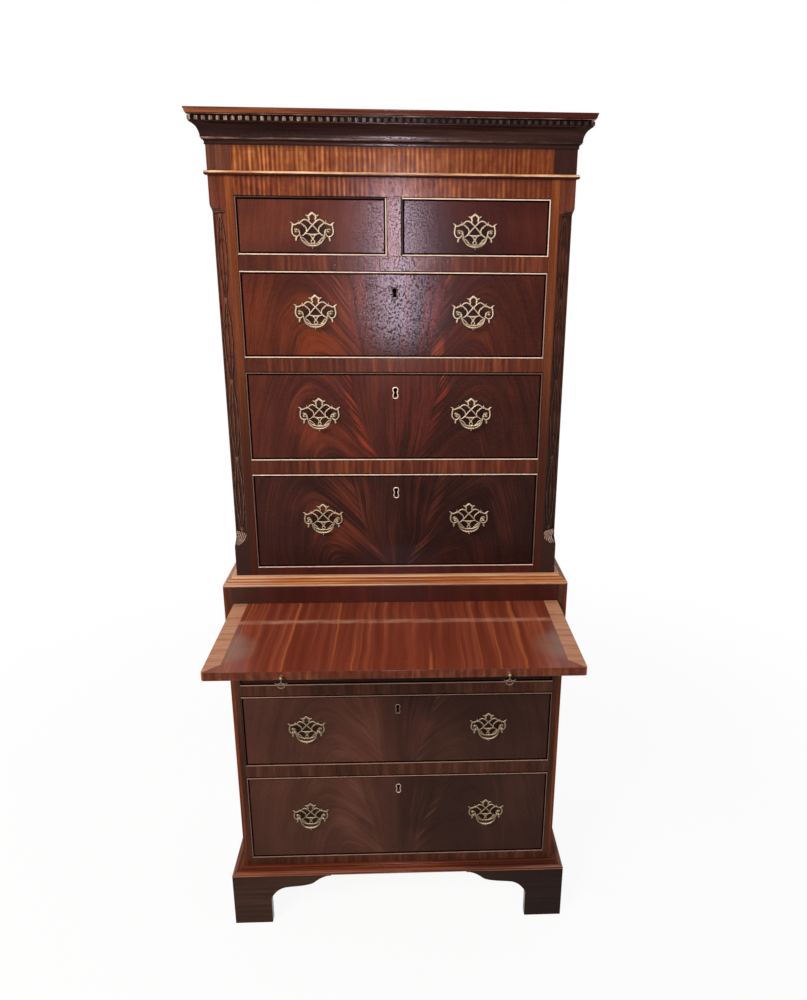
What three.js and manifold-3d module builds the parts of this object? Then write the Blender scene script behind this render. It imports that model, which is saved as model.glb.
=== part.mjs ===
// A mahogany chest on chest: an upper chest of two short and three long drawers between canted, fretted
// corners, on a lower chest of three long drawers with a brushing slide, on bracket feet.
// Millimetres, +Z up, front towards -Y. The origin is on the floor under the middle of the whole outline
// with the brushing slide drawn out.

import * as THREE from 'three';
import { mergeVertices } from 'three/addons/utils/BufferGeometryUtils.js';
import Module from 'manifold-3d';

const wasm = await Module();
wasm.setup();

// Clearances
const seatGap = 0.3;
const drawerSideClearance = 0.8;
const drawerTopClearance = 1;
const overrun = 2;

// Cases
const upperWidth = 707.6;
const upperDepth = 430;
const lowerProjection = 26.5;
const boardThickness = 18;
const lowerSideThickness = 19.3;
const backThickness = 10;
const railDepth = 60;
const dustBoardThickness = 8;
const guideHeight = 20;
const friezeThickness = 20;

// Heights from the floor up
const footHeight = 139.5;
const lowerBottomRail = 36.1;
const lowerDrawerHeights = { bottom: 231.4, middle: 186.7, top: 161.6 };
const lowerRails = { low: 32.2, high: 27.5 };
const slideRail = 26;
const slideSlotHeight = 17.6;
const lowerTopRail = 38.8;
const upperBottomRail = 35.8;
const upperDrawerHeights = { bottom: 214.5, middle: 186.9, top: 171.2, short: 108.9 };
const upperRails = { low: 29.5, middle: 28.3, high: 28.9 };
const upperTopRail = 35.4;
const astragalHeight = 8;
const friezeHeight = 45.5;

// Corner posts of the upper chest
const postWidth = 46.8;
const postDepth = 42;
const cantWidth = 30;
const cantDepth = 22;
const cantStart = 83.4;
const cantEndBelowRail = 15.6;
const lowerStopHeight = 33;
const upperStopHeight = 15;
const stopTip = 0.6;
const muntinWidth = 27.2;

// Fretted strips let into the cants
const fretThickness = 2.7;
const fretRepeats = 4;
const fretBorder = 1.8;
const fretStrand = 3.2;
const fretRosette = 7.5;

// Cornice, astragal, waist and base mouldings
const corniceProjection = 30;
const fasciaHeight = 9.5;
const fasciaUndercut = 2.5;
const dentilHeight = 13;
const dentilWidth = 7.4;
const dentilPitch = 13.5;
const dentilProjection = 24.5;
const dentilBandProjection = 19;
const cymaProjection = 22.5;
const cymaHeight = 24;
const beadProjection = 7;
const beadHeight = 4.5;
const corniceCoveHeight = 8.5;
const astragalProjection = 6;
const waistHeight = 17.6;
const waistFillet = 4.5;
const waistReeds = 3;
const baseMouldingHeight = 13.7;
const plinthProjection = 27;
const baseBead = 3.5;
const baseCoveInset = 9;

// Bracket feet
const footThickness = 20;
const footWidth = 92;
const frontBracket = 238;
const sideBracket = 190;
const rearBracket = 130;
const kneeHeight = 68;
const kneeWidth = 50;
const kneeLeanShare = 0.2;
const shoulderHeight = 107;
const shoulderRise = 5;
const bracketTailLength = 44;
const footBlock = 42;

// Drawers
const frontThickness = 22;
const beadWidth = 3;
const beadProud = 2;
const drawerSideThickness = 10;
const drawerBottomThickness = 7;
const drawerBottomRise = 5;
const drawerSideDrop = 12;
const drawerBackSpace = 15;

// Locks: only the keyholes are cut
const keyholeDropUpper = 41.5;
const keyholeDropLower = 37;
const keyholeRound = 3;
const keyholeFoot = 2.2;
const keyholeWaist = 1.3;
const keyholeLength = 14;

// Brass handles
const handleSpreadUpper = 158.5;
const handleSpreadLower = 212.5;
const shortHandleDrop = 10.5;
const longHandleRise = 3.5;
const pommelSpacing = 62;
const plateThickness = 1.8;
const plateWidth = 88;
const plateRise = 37;
const plateDrop = 23;
const shankHalf = 2;
const shankProud = 6;
const shankClearance = 0.4;
const pommelRadius = 4.8;
const pommelReach = 10;
const pommelCollar = 4.6;
const pommelNeck = 3;
const pinRadius = 1.4;
const pinClearance = 0.35;
const pinLength = 3.4;
const bailArmRadius = 1.7;
const bailMiddleRadius = 2.8;
const bailDrop = 28;
const bailShoulder = 2.6;

// Brushing slide
const slideThickness = 17;
const slideDepth = 400;
const slideReach = 299;
const slideSideClearance = 1.5;
const slidePullSpread = 211.5;
const slideBallRadius = 4;
const slideBallReach = 8;
const slideNeckRadius = 1.7;
const slideForkWidth = 2.8;
const slidePinRadius = 0.9;
const slideTongueThickness = 1.8;
const slideTongueRadius = 2.6;
const slideDropWidth = 24;
const slideDropLength = 22;
const slideDropThickness = 2.4;
const slideDropStrand = 2;

// Smoothness of the curves
const curveSteps = 3;
const bracketSteps = 5;
const roundSides = 6;
const bailSides = 5;

// Levels and planes that follow from the sizes above
const lowerDrawer3 = footHeight + lowerBottomRail;
const lowerDrawer2 = lowerDrawer3 + lowerDrawerHeights.bottom + lowerRails.low;
const lowerDrawer1 = lowerDrawer2 + lowerDrawerHeights.middle + lowerRails.high;
const slideFloor = lowerDrawer1 + lowerDrawerHeights.top + slideRail;
const lowerTop = slideFloor + slideSlotHeight + lowerTopRail;
const upperDrawer3 = lowerTop + upperBottomRail;
const upperDrawer2 = upperDrawer3 + upperDrawerHeights.bottom + upperRails.low;
const upperDrawer1 = upperDrawer2 + upperDrawerHeights.middle + upperRails.middle;
const shortDrawer = upperDrawer1 + upperDrawerHeights.top + upperRails.high;
const topRailLow = shortDrawer + upperDrawerHeights.short;
const astragalLow = topRailLow + upperTopRail;
const corniceLow = astragalLow + astragalHeight + friezeHeight;
const corniceHeight = fasciaHeight + dentilHeight + cymaHeight + beadHeight + corniceCoveHeight;
const caseTop = corniceLow + corniceHeight;
const upperHalf = upperWidth / 2;
const upperOpening = upperHalf - postWidth;
const lowerHalf = upperHalf + lowerProjection;
const lowerOpening = lowerHalf - lowerSideThickness;
const upperFront = 0;
const lowerFront = upperFront - lowerProjection;
const caseBack = upperFront + upperDepth;
const boardBack = caseBack - backThickness - seatGap;
const plinthFront = lowerFront - plinthProjection;
const plinthHalf = lowerHalf + plinthProjection;
const slideFront = lowerFront - slideReach;
const slideMiddle = slideFloor + seatGap + slideThickness / 2;

// Materials
const mahogany = new THREE.MeshStandardMaterial({ color: 0x5a2416, roughness: 0.3, metalness: 0 });
const flameVeneer = new THREE.MeshStandardMaterial({ color: 0x6b2a18, roughness: 0.25, metalness: 0 });
const bandedVeneer = new THREE.MeshStandardMaterial({ color: 0x8a4520, roughness: 0.3, metalness: 0 });
const oak = new THREE.MeshStandardMaterial({ color: 0x9a7a50, roughness: 0.6, metalness: 0 });
const brass = new THREE.MeshStandardMaterial({ color: 0xc9b283, roughness: 0.35, metalness: 1 });

// Turns a closed geometry into a solid that can be joined and cut. Triangles that shrink to a line at
// the axis of a turned piece are left out.
function solidOf(geometry) {
  geometry.deleteAttribute('normal');
  geometry.deleteAttribute('uv');
  const merged = mergeVertices(geometry);
  const corners = [];
  for (let i = 0; i < merged.index.count; i += 3) {
    const [a, b, c] = merged.index.array.slice(i, i + 3);
    if (a !== b && b !== c && c !== a) {
      corners.push(a, b, c);
    }
  }
  return new wasm.Manifold(new wasm.Mesh({
    numProp: 3,
    vertProperties: new Float32Array(merged.attributes.position.array),
    triVerts: new Uint32Array(corners),
  }));
}

function geometryOf(solid) {
  const { vertProperties, triVerts } = solid.getMesh();
  const geometry = new THREE.BufferGeometry();
  geometry.setAttribute('position', new THREE.BufferAttribute(vertProperties, 3));
  geometry.setIndex(new THREE.BufferAttribute(triVerts, 1));
  geometry.computeVertexNormals();
  return geometry;
}

function join(solids) {
  return solids.reduce((whole, piece) => whole.add(piece));
}

// A box between two values on each axis.
function block([x0, x1], [y0, y1], [z0, z1]) {
  const geometry = new THREE.BoxGeometry(x1 - x0, y1 - y0, z1 - z0);
  geometry.translate((x0 + x1) / 2, (y0 + y1) / 2, (z0 + z1) / 2);
  return solidOf(geometry);
}

// The same box on the left and on the right.
function pair([x0, x1], y, z) {
  return [block([x0, x1], y, z), block([-x1, -x0], y, z)];
}

// A flat outline made thick towards +Z.
function slab(shape, thickness, steps = curveSteps) {
  const options = { depth: thickness, bevelEnabled: false, curveSegments: steps };
  return solidOf(new THREE.ExtrudeGeometry(shape, options));
}

// A slab with openings cut through it.
function piercedSlab(shape, openings, thickness) {
  const through = openings.map((opening) => slab(opening, thickness + 2 * overrun));
  return slab(shape, thickness).subtract(join(through).translate([0, 0, -overrun]));
}

// A slab stood upright: its outline's y becomes height and its thickness runs back from y = front.
function standing(shape, front, thickness, steps = curveSteps) {
  const options = { depth: thickness, bevelEnabled: false, curveSegments: steps };
  const geometry = new THREE.ExtrudeGeometry(shape, options);
  geometry.rotateX(Math.PI / 2);
  geometry.translate(0, front + thickness, 0);
  return solidOf(geometry);
}

// A closed skin through like sections, with a flat cap on each end. The outline is a section seen flat.
function loft(sections, outline) {
  const count = outline.length;
  const positions = sections.flat().flatMap((point) => point.toArray());
  const index = [];
  for (let row = 0; row < sections.length - 1; row += 1) {
    for (let i = 0; i < count; i += 1) {
      const a = row * count + i;
      const b = row * count + ((i + 1) % count);
      index.push(a, b, b + count, a, b + count, a + count);
    }
  }
  const last = (sections.length - 1) * count;
  for (const [a, b, c] of THREE.ShapeUtils.triangulateShape(outline, [])) {
    index.push(a, c, b);
    index.push(last + a, last + b, last + c);
  }
  const geometry = new THREE.BufferGeometry();
  geometry.setAttribute('position', new THREE.Float32BufferAttribute(positions, 3));
  geometry.setIndex(index);
  return solidOf(geometry);
}

// A moulding mitred round the front and both sides of a case. In the profile, x is how far it stands
// out from the case and y is the height.
function mitredMoulding(profile, halfWidth, front, back) {
  const outline = profile.extractPoints(curveSteps).shape;
  if (THREE.ShapeUtils.isClockWise(outline)) {
    outline.reverse();
  }
  const stations = [
    { side: 1, y: back, turn: 0 },
    { side: 1, y: front, turn: 1 },
    { side: -1, y: front, turn: 1 },
    { side: -1, y: back, turn: 0 },
  ];
  const sections = stations.map(({ side, y, turn }) => outline.map(
    (point) => new THREE.Vector3(side * (halfWidth + point.x), y - turn * point.x, point.y),
  ));
  return loft(sections, outline);
}

// A round bar along Y.
function barAlongY(radius, [y0, y1], x, z, sides = roundSides) {
  const geometry = new THREE.CylinderGeometry(radius, radius, y1 - y0, sides);
  geometry.translate(x, (y0 + y1) / 2, z);
  return solidOf(geometry);
}

// A round bar along X.
function barAlongX(radius, [x0, x1], y, z, sides = roundSides) {
  const geometry = new THREE.CylinderGeometry(radius, radius, x1 - x0, sides);
  geometry.rotateZ(Math.PI / 2);
  geometry.translate((x0 + x1) / 2, y, z);
  return solidOf(geometry);
}

function closedShape(points) {
  return new THREE.Shape(points.map(([x, y]) => new THREE.Vector2(x, y)));
}

// The carved cornice: a rounded fascia over a row of dentils, a deep ogee, a bead and a cove.
function makeCornice() {
  const profile = new THREE.Shape();
  const dentilTop = caseTop - fasciaHeight;
  const dentilLow = dentilTop - dentilHeight;
  const cymaLow = dentilLow - cymaHeight;
  const beadLow = cymaLow - beadHeight;
  const fasciaFoot = corniceProjection - fasciaUndercut;
  const cymaMiddle = (cymaProjection + beadProjection) / 2;
  const cymaMiddleHeight = (dentilLow + cymaLow) / 2;
  profile.moveTo(seatGap, caseTop);
  profile.lineTo(seatGap, corniceLow);
  profile.quadraticCurveTo(seatGap, beadLow, beadProjection, beadLow);
  profile.lineTo(beadProjection, cymaLow);
  profile.quadraticCurveTo(beadProjection, cymaMiddleHeight, cymaMiddle, cymaMiddleHeight);
  profile.quadraticCurveTo(cymaProjection, cymaMiddleHeight, cymaProjection, dentilLow);
  profile.lineTo(dentilBandProjection, dentilLow);
  profile.lineTo(dentilBandProjection, dentilTop);
  profile.lineTo(fasciaFoot, dentilTop);
  profile.lineTo(corniceProjection, caseTop);
  profile.closePath();
  const moulding = mitredMoulding(profile, upperHalf, upperFront, caseBack);

  const root = dentilBandProjection - overrun;
  const height = [dentilLow, dentilTop];
  const teeth = [];
  const frontRun = upperHalf + dentilProjection - dentilWidth / 2;
  const frontCount = Math.round(2 * frontRun / dentilPitch);
  for (let i = 0; i <= frontCount; i += 1) {
    const x = -frontRun + 2 * frontRun * i / frontCount;
    const across = [x - dentilWidth / 2, x + dentilWidth / 2];
    teeth.push(block(across, [upperFront - dentilProjection, upperFront - root], height));
  }
  const sideStart = upperFront - dentilProjection + dentilWidth / 2;
  const sideCount = Math.floor((caseBack - sideStart - dentilWidth / 2) / dentilPitch);
  for (let i = 1; i <= sideCount; i += 1) {
    const y = sideStart + i * dentilPitch;
    const along = [y - dentilWidth / 2, y + dentilWidth / 2];
    teeth.push(...pair([upperHalf + root, upperHalf + dentilProjection], along, height));
  }
  return join([moulding, ...teeth]);
}

// What is cut away from a post's outer corner to make the stopped cant and the bed for its fret.
function makeCantCut(side) {
  const slope = Math.hypot(cantWidth, cantDepth);
  const growth = 1 + (fretThickness + seatGap) * slope / (cantWidth * cantDepth);
  const low = lowerTop + cantStart;
  const high = topRailLow - cantEndBelowRail;
  const levels = [
    { z: low, size: stopTip / cantDepth },
    { z: low + lowerStopHeight, size: growth },
    { z: high - upperStopHeight, size: growth },
    { z: high, size: stopTip / cantDepth },
  ];
  const sections = levels.map(({ z, size }) => {
    const spare = overrun * size;
    const corner = new THREE.Vector3(side * (upperHalf + spare), upperFront - spare, z);
    const alongFront = new THREE.Vector3(side * (upperHalf - cantWidth * size), upperFront - spare, z);
    const frontEdge = new THREE.Vector3(side * (upperHalf - cantWidth * size), upperFront, z);
    const sideEdge = new THREE.Vector3(side * upperHalf, upperFront + cantDepth * size, z);
    const alongSide = new THREE.Vector3(side * (upperHalf + spare), upperFront + cantDepth * size, z);
    const loop = [corner, alongFront, frontEdge, sideEdge, alongSide];
    return side > 0 ? loop.reverse() : loop;
  });
  const outline = sections[0].map((point) => new THREE.Vector2(point.x, point.y));
  return loft(sections, outline);
}

// One level of a case: a rail across the front with a dust board behind it, both flush on top.
function railAndDustBoard(halfWidth, front, top, railHeight) {
  return [
    block([-halfWidth, halfWidth], [front, front + railDepth], [top - railHeight, top]),
    block([-halfWidth, halfWidth], [front, boardBack], [top - dustBoardThickness, top]),
  ];
}

// The upper case: sides, top and bottom, corner posts, frieze, rails, dust boards, drawer guides,
// muntin and astragal, all dovetailed, housed and glued into one.
function makeUpperCarcase() {
  const low = lowerTop + seatGap;
  const inner = upperHalf - boardThickness;
  const depth = [upperFront, caseBack];
  const inside = [upperFront, boardBack];
  const postFloor = lowerTop + upperBottomRail;
  const pieces = [
    ...pair([inner, upperHalf], depth, [low, caseTop]),
    ...pair([upperOpening, upperHalf], [upperFront, upperFront + postDepth], [low, caseTop]),
    block([-upperHalf, upperHalf], inside, [caseTop - boardThickness, caseTop]),
    block([-upperHalf, upperHalf], inside, [low, low + boardThickness]),
    block([-upperHalf, upperHalf], [upperFront, upperFront + railDepth], [low, postFloor]),
    block([-upperHalf, upperHalf], [upperFront, upperFront + friezeThickness], [topRailLow, caseTop]),
    ...railAndDustBoard(inner, upperFront, upperDrawer2, upperRails.low),
    ...railAndDustBoard(inner, upperFront, upperDrawer1, upperRails.middle),
    ...railAndDustBoard(inner, upperFront, shortDrawer, upperRails.high),
    block([-inner, inner], inside, [postFloor - dustBoardThickness, postFloor]),
    ...pair([upperOpening, inner], inside, [topRailLow, topRailLow + guideHeight]),
  ];
  for (const level of [upperDrawer3, upperDrawer2, upperDrawer1, shortDrawer]) {
    pieces.push(...pair([upperOpening, inner], inside, [level - overrun, level + guideHeight]));
  }
  const muntin = [-muntinWidth / 2, muntinWidth / 2];
  pieces.push(block(muntin, [upperFront, upperFront + railDepth], [shortDrawer, topRailLow]));
  pieces.push(block(muntin, inside, [shortDrawer - overrun, shortDrawer + guideHeight]));
  pieces.push(block(muntin, inside, [topRailLow, topRailLow + guideHeight]));

  const astragal = new THREE.Shape();
  const middle = astragalLow + astragalHeight / 2;
  astragal.moveTo(-overrun, astragalLow);
  astragal.lineTo(astragalProjection / 2, astragalLow);
  astragal.quadraticCurveTo(astragalProjection, astragalLow, astragalProjection, middle);
  const astragalHigh = astragalLow + astragalHeight;
  astragal.quadraticCurveTo(astragalProjection, astragalHigh, astragalProjection / 2, astragalHigh);
  astragal.lineTo(-overrun, astragalHigh);
  astragal.closePath();
  pieces.push(mitredMoulding(astragal, upperHalf, upperFront, caseBack));
  return join(pieces).subtract(makeCantCut(-1)).subtract(makeCantCut(1));
}

// The lower case: sides, top and bottom, rails, dust boards and the bed and kickers of the slide.
function makeLowerCarcase() {
  const low = footHeight + seatGap;
  const depth = [lowerFront, caseBack];
  const inside = [lowerFront, boardBack];
  const slotTop = slideFloor + slideSlotHeight;
  const kicker = [lowerOpening - boardThickness, lowerOpening + overrun];
  return join([
    ...pair([lowerOpening, lowerHalf], depth, [low, lowerTop]),
    block([-lowerHalf, lowerHalf], inside, [lowerTop - boardThickness, lowerTop]),
    block([-lowerHalf, lowerHalf], inside, [low, low + boardThickness]),
    block([-lowerHalf, lowerHalf], [lowerFront, lowerFront + railDepth], [low, lowerDrawer3]),
    block([-lowerHalf, lowerHalf], inside, [lowerDrawer3 - dustBoardThickness, lowerDrawer3]),
    ...railAndDustBoard(lowerHalf, lowerFront, lowerDrawer2, lowerRails.low),
    ...railAndDustBoard(lowerHalf, lowerFront, lowerDrawer1, lowerRails.high),
    ...railAndDustBoard(lowerHalf, lowerFront, slideFloor, slideRail),
    block([-lowerHalf, lowerHalf], [lowerFront, lowerFront + friezeThickness], [slotTop, lowerTop]),
    ...pair(kicker, inside, [slotTop, lowerTop]),
  ]);
}

// Backboards let in between the sides of a case.
function makeBackBoards(halfWidth, low, high) {
  const half = halfWidth - seatGap;
  return block([-half, half], [caseBack - backThickness, caseBack], [low + seatGap, high]);
}

// The reeded waist moulding that stands on the lower chest and keeps the upper one in its place.
function makeWaistMoulding() {
  const profile = new THREE.Shape();
  const low = lowerTop + seatGap;
  const reedHeight = (waistHeight - waistFillet) / waistReeds;
  const reedDepth = (lowerProjection - seatGap) / (waistReeds + 1);
  profile.moveTo(seatGap, low);
  profile.lineTo(lowerProjection, low);
  profile.lineTo(lowerProjection, low + waistFillet);
  for (let i = 0; i < waistReeds; i += 1) {
    const out = lowerProjection - i * reedDepth;
    const foot = low + waistFillet + i * reedHeight;
    profile.lineTo(out - reedDepth / 2, foot);
    profile.quadraticCurveTo(out - reedDepth / 2, foot + reedHeight, out - reedDepth, foot + reedHeight);
  }
  profile.lineTo(seatGap, low + waistHeight);
  profile.closePath();
  return mitredMoulding(profile, upperHalf, upperFront, caseBack);
}

// The base moulding round the foot of the lower chest: a bead, a hollow and a rounded lip.
function makeBaseMoulding() {
  const profile = new THREE.Shape();
  const low = footHeight + seatGap;
  const high = low + baseMouldingHeight;
  const lip = low + baseMouldingHeight / 2;
  profile.moveTo(seatGap, low);
  profile.lineTo(plinthProjection - baseBead, low);
  profile.quadraticCurveTo(plinthProjection, low, plinthProjection, low + baseBead);
  profile.quadraticCurveTo(plinthProjection, lip, plinthProjection - baseBead, lip);
  profile.quadraticCurveTo(baseCoveInset, lip, baseCoveInset, high - baseBead);
  profile.lineTo(baseBead + seatGap, high - baseBead);
  profile.quadraticCurveTo(baseBead + seatGap, high, seatGap, high);
  profile.closePath();
  return mitredMoulding(profile, lowerHalf, lowerFront, caseBack);
}

// The shaped face of a bracket, with its corner at zero and its tail towards +x.
function bracketOutline(length) {
  const shape = new THREE.Shape();
  const kneeEnd = footWidth + kneeWidth;
  const tail = length - bracketTailLength;
  const tailLow = shoulderHeight + shoulderRise;
  const tailMiddle = length - bracketTailLength / 2;
  const tailMiddleHeight = (tailLow + footHeight) / 2;
  shape.moveTo(0, 0);
  shape.lineTo(footWidth, 0);
  shape.lineTo(footWidth, kneeHeight);
  shape.quadraticCurveTo(footWidth + kneeWidth * kneeLeanShare, shoulderHeight, kneeEnd, shoulderHeight);
  shape.lineTo(tail, tailLow);
  shape.quadraticCurveTo(tailMiddle, tailLow, tailMiddle, tailMiddleHeight);
  shape.quadraticCurveTo(tailMiddle, footHeight, length, footHeight);
  shape.lineTo(0, footHeight);
  shape.closePath();
  return shape;
}

// A bracket lying along X from a corner, towards +x when toward is 1, or along Y when turned.
function bracketAlongX(shape, cornerX, toward, front) {
  const solid = standing(shape, front, footThickness, bracketSteps);
  const placed = toward > 0 ? solid : solid.mirror([1, 0, 0]);
  return placed.translate([cornerX, 0, 0]);
}

function bracketAlongY(shape, cornerY, toward, outerX, side) {
  const upright = standing(shape, 0, footThickness, bracketSteps);
  const turned = upright.rotate([0, 0, 90]);
  const placed = toward > 0 ? turned : turned.mirror([0, 1, 0]);
  const inner = side > 0 ? outerX : outerX + footThickness;
  return placed.translate([inner, cornerY, 0]);
}

// A front foot: two shaped brackets mitred at the corner, with a glue block behind them.
function makeFrontFoot(side) {
  const outer = side * plinthHalf;
  const inner = outer - side * (footThickness + footBlock);
  const blockX = side > 0 ? [inner, outer - overrun] : [outer + overrun, inner];
  const blockY = [plinthFront + overrun, plinthFront + footThickness + footBlock];
  return join([
    bracketAlongX(bracketOutline(frontBracket), outer, -side, plinthFront),
    bracketAlongY(bracketOutline(sideBracket), plinthFront, 1, outer, side),
    block(blockX, blockY, [0, footHeight]),
  ]);
}

// A back foot: one shaped bracket along the side, a plain one across the back and a glue block.
function makeBackFoot(side) {
  const outer = side * plinthHalf;
  const inner = outer - side * (footThickness + footBlock);
  const blockX = side > 0 ? [inner, outer - overrun] : [outer + overrun, inner];
  const plain = closedShape([
    [0, 0],
    [footWidth, 0],
    [rearBracket, footHeight],
    [0, footHeight],
  ]);
  return join([
    bracketAlongX(plain, outer, -side, caseBack - footThickness),
    bracketAlongY(bracketOutline(sideBracket), caseBack, -1, outer, side),
    block(blockX, [caseBack - footThickness - footBlock, caseBack - overrun], [0, footHeight]),
  ]);
}

// The fret for a cant, flat: long pointed loops end to end, with a rosette where they meet.
function makeFret() {
  const width = Math.hypot(cantWidth, cantDepth) - seatGap;
  const low = lowerTop + cantStart + lowerStopHeight + seatGap;
  const high = topRailLow - cantEndBelowRail - upperStopHeight - seatGap;
  const length = high - low;
  const repeat = length / fretRepeats;
  const half = width / 2;
  const strip = closedShape([[-half, 0], [half, 0], [half, length], [-half, length]]);
  const openings = [];
  const reach = half - fretBorder - fretStrand;
  for (let i = 0; i < fretRepeats; i += 1) {
    const foot = i * repeat;
    const middle = foot + repeat / 2;
    const eyeFoot = foot + fretRosette;
    const eyeHead = foot + repeat - fretRosette;
    const eye = new THREE.Shape();
    eye.moveTo(0, eyeFoot);
    eye.quadraticCurveTo(reach, eyeFoot + fretRosette, reach, middle);
    eye.quadraticCurveTo(reach, eyeHead - fretRosette, 0, eyeHead);
    eye.quadraticCurveTo(-reach, eyeHead - fretRosette, -reach, middle);
    eye.quadraticCurveTo(-reach, eyeFoot + fretRosette, 0, eyeFoot);
    openings.push(eye);
    for (const side of [-1, 1]) {
      for (const [end, away] of [[foot, 1], [foot + repeat, -1]]) {
        const spandrel = new THREE.Shape();
        const outer = side * (half - fretBorder);
        const start = end + away * fretStrand / 2;
        spandrel.moveTo(side * fretRosette, start);
        spandrel.lineTo(outer, start);
        spandrel.lineTo(outer, end + away * repeat / 3);
        spandrel.quadraticCurveTo(outer, end + away * fretRosette * 2, side * fretRosette, start);
        openings.push(spandrel);
      }
    }
  }
  return { solid: piercedSlab(strip, openings, fretThickness), low };
}

// The pierced back plate of a handle, seen from the front, with its middle between the pommels. The
// shares run from the middle to the edge of the plate: across on half the width, up on the rise and
// down on the drop. The second half of each outline mirrors the first.
function makeHandlePlate() {
  const half = plateWidth / 2;
  const place = ([across, up]) => [across * half, up > 0 ? up * plateRise : up * plateDrop];
  const mirror = (points) => [...points, ...points.slice(1, -1).map(([x, y]) => [-x, y]).reverse()];
  const rightEdgeShares = [
    [0, 1], [0.13, 0.85], [0.3, 0.83], [0.2, 0.64], [0.4, 0.63], [0.52, 0.42], [0.6, 0.56],
    [0.66, 0.38], [0.8, 0.36], [1, 0.48], [0.9, 0.18], [0.92, -0.1], [0.71, -0.9], [0.6, -0.45],
    [0.4, -0.87], [0, -1],
  ];
  const finialShares = [[0, 0.9], [0.1, 0.68], [0, 0.43]];
  const triangleShares = [[0, 0.22], [0.16, -0.08], [-0.16, -0.08]];
  const sideShares = [
    [[0.08, 0.34], [0.2, 0.5], [0.39, 0.49], [0.22, 0.13]],
    [[0.3, 0.04], [0.38, 0.28], [0.77, 0.23], [0.57, 0], [0.48, -0.26]],
    [[0.07, -0.34], [0.41, -0.42], [0.31, -0.76], [0.1, -0.76]],
  ];
  const shape = closedShape(mirror(rightEdgeShares).map(place));
  const openings = [closedShape(mirror(finialShares).map(place)), closedShape(triangleShares.map(place))];
  for (const hole of sideShares) {
    for (const side of [-1, 1]) {
      openings.push(closedShape(hole.map(([across, up]) => place([side * across, up]))));
    }
  }
  const plate = piercedSlab(shape, openings, plateThickness).translate([0, 0, seatGap]);
  return join([plate, makePommel(-1), makePommel(1)]);
}

// A pommel: its square shank runs back through the drawer front, and the bail's pin turns in its round head.
function makePommel(side) {
  const x = side * pommelSpacing / 2;
  const root = seatGap + plateThickness / 2;
  const profile = [
    [0, root],
    [pommelCollar, root],
    [pommelNeck, pommelReach - pommelRadius],
    [pommelRadius, pommelReach],
    [pommelNeck, pommelReach + pommelRadius - pinRadius],
    [0, pommelReach + pommelRadius],
  ];
  const turned = new THREE.LatheGeometry(profile.map(([r, y]) => new THREE.Vector2(r, y)), roundSides);
  turned.rotateX(Math.PI / 2);
  turned.translate(x, 0, 0);
  const socketRadius = (pinRadius + pinClearance) / Math.cos(Math.PI / bailSides);
  const socketEnd = pommelSpacing / 2 - pommelRadius + pinLength + 2 * pinClearance;
  const socketStart = pommelSpacing / 2 - pommelRadius - overrun;
  const along = side > 0 ? [socketStart, socketEnd] : [-socketEnd, -socketStart];
  const socket = barAlongX(socketRadius, along, 0, pommelReach, bailSides);
  const shankEnds = [-frontThickness - shankProud, root];
  const shank = block([x - shankHalf, x + shankHalf], [-shankHalf, shankHalf], shankEnds);
  return solidOf(turned).subtract(socket).add(shank);
}

// A bail: a bar bent down between two pins that point outwards, and swelling towards its middle. The
// shares run out from the middle on the shoulder and down on the drop.
function makeBail() {
  const pinEnd = pommelSpacing / 2 - pommelRadius + pinLength;
  const shoulder = pommelSpacing / 2 - pommelRadius - bailShoulder;
  const rightArmShares = [[0, 1], [0.5, 0.93], [0.84, 0.66], [0.97, 0.28], [1, 0]];
  const rightArm = rightArmShares.map(
    ([across, down]) => new THREE.Vector3(across * shoulder, -down * bailDrop, 0),
  );
  const leftArm = rightArm.slice(1).map((point) => new THREE.Vector3(-point.x, point.y, 0)).reverse();
  const route = new THREE.CatmullRomCurve3([...leftArm, ...rightArm]);
  const steps = 2 * curveSteps;
  const outline = [];
  for (let i = 0; i < bailSides; i += 1) {
    const turn = 2 * Math.PI * i / bailSides;
    outline.push(new THREE.Vector2(Math.cos(turn), Math.sin(turn)));
  }
  const sections = [];
  const addSection = (centre, forward, radius) => {
    const across = new THREE.Vector3(-forward.y, forward.x, 0);
    const out = new THREE.Vector3(0, 0, 1);
    sections.push(outline.map((corner) => centre.clone()
      .addScaledVector(across, corner.x * radius)
      .addScaledVector(out, corner.y * radius)));
  };
  const right = new THREE.Vector3(1, 0, 0);
  addSection(new THREE.Vector3(-pinEnd, 0, 0), right, pinRadius);
  addSection(new THREE.Vector3(-shoulder - bailArmRadius, 0, 0), right, pinRadius);
  for (let i = 0; i <= steps; i += 1) {
    const share = i / steps;
    const swell = Math.sin(Math.PI * share) ** 2;
    const radius = bailArmRadius + (bailMiddleRadius - bailArmRadius) * swell;
    const forward = route.getTangent(share);
    if (i === 0 || i === steps) {
      forward.set(1, i === 0 ? -1 : 1, 0).normalize();
    }
    addSection(route.getPoint(share), forward, radius);
  }
  addSection(new THREE.Vector3(shoulder + bailArmRadius, 0, 0), right, pinRadius);
  addSection(new THREE.Vector3(pinEnd, 0, 0), right, pinRadius);
  return loft(sections, outline);
}

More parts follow.
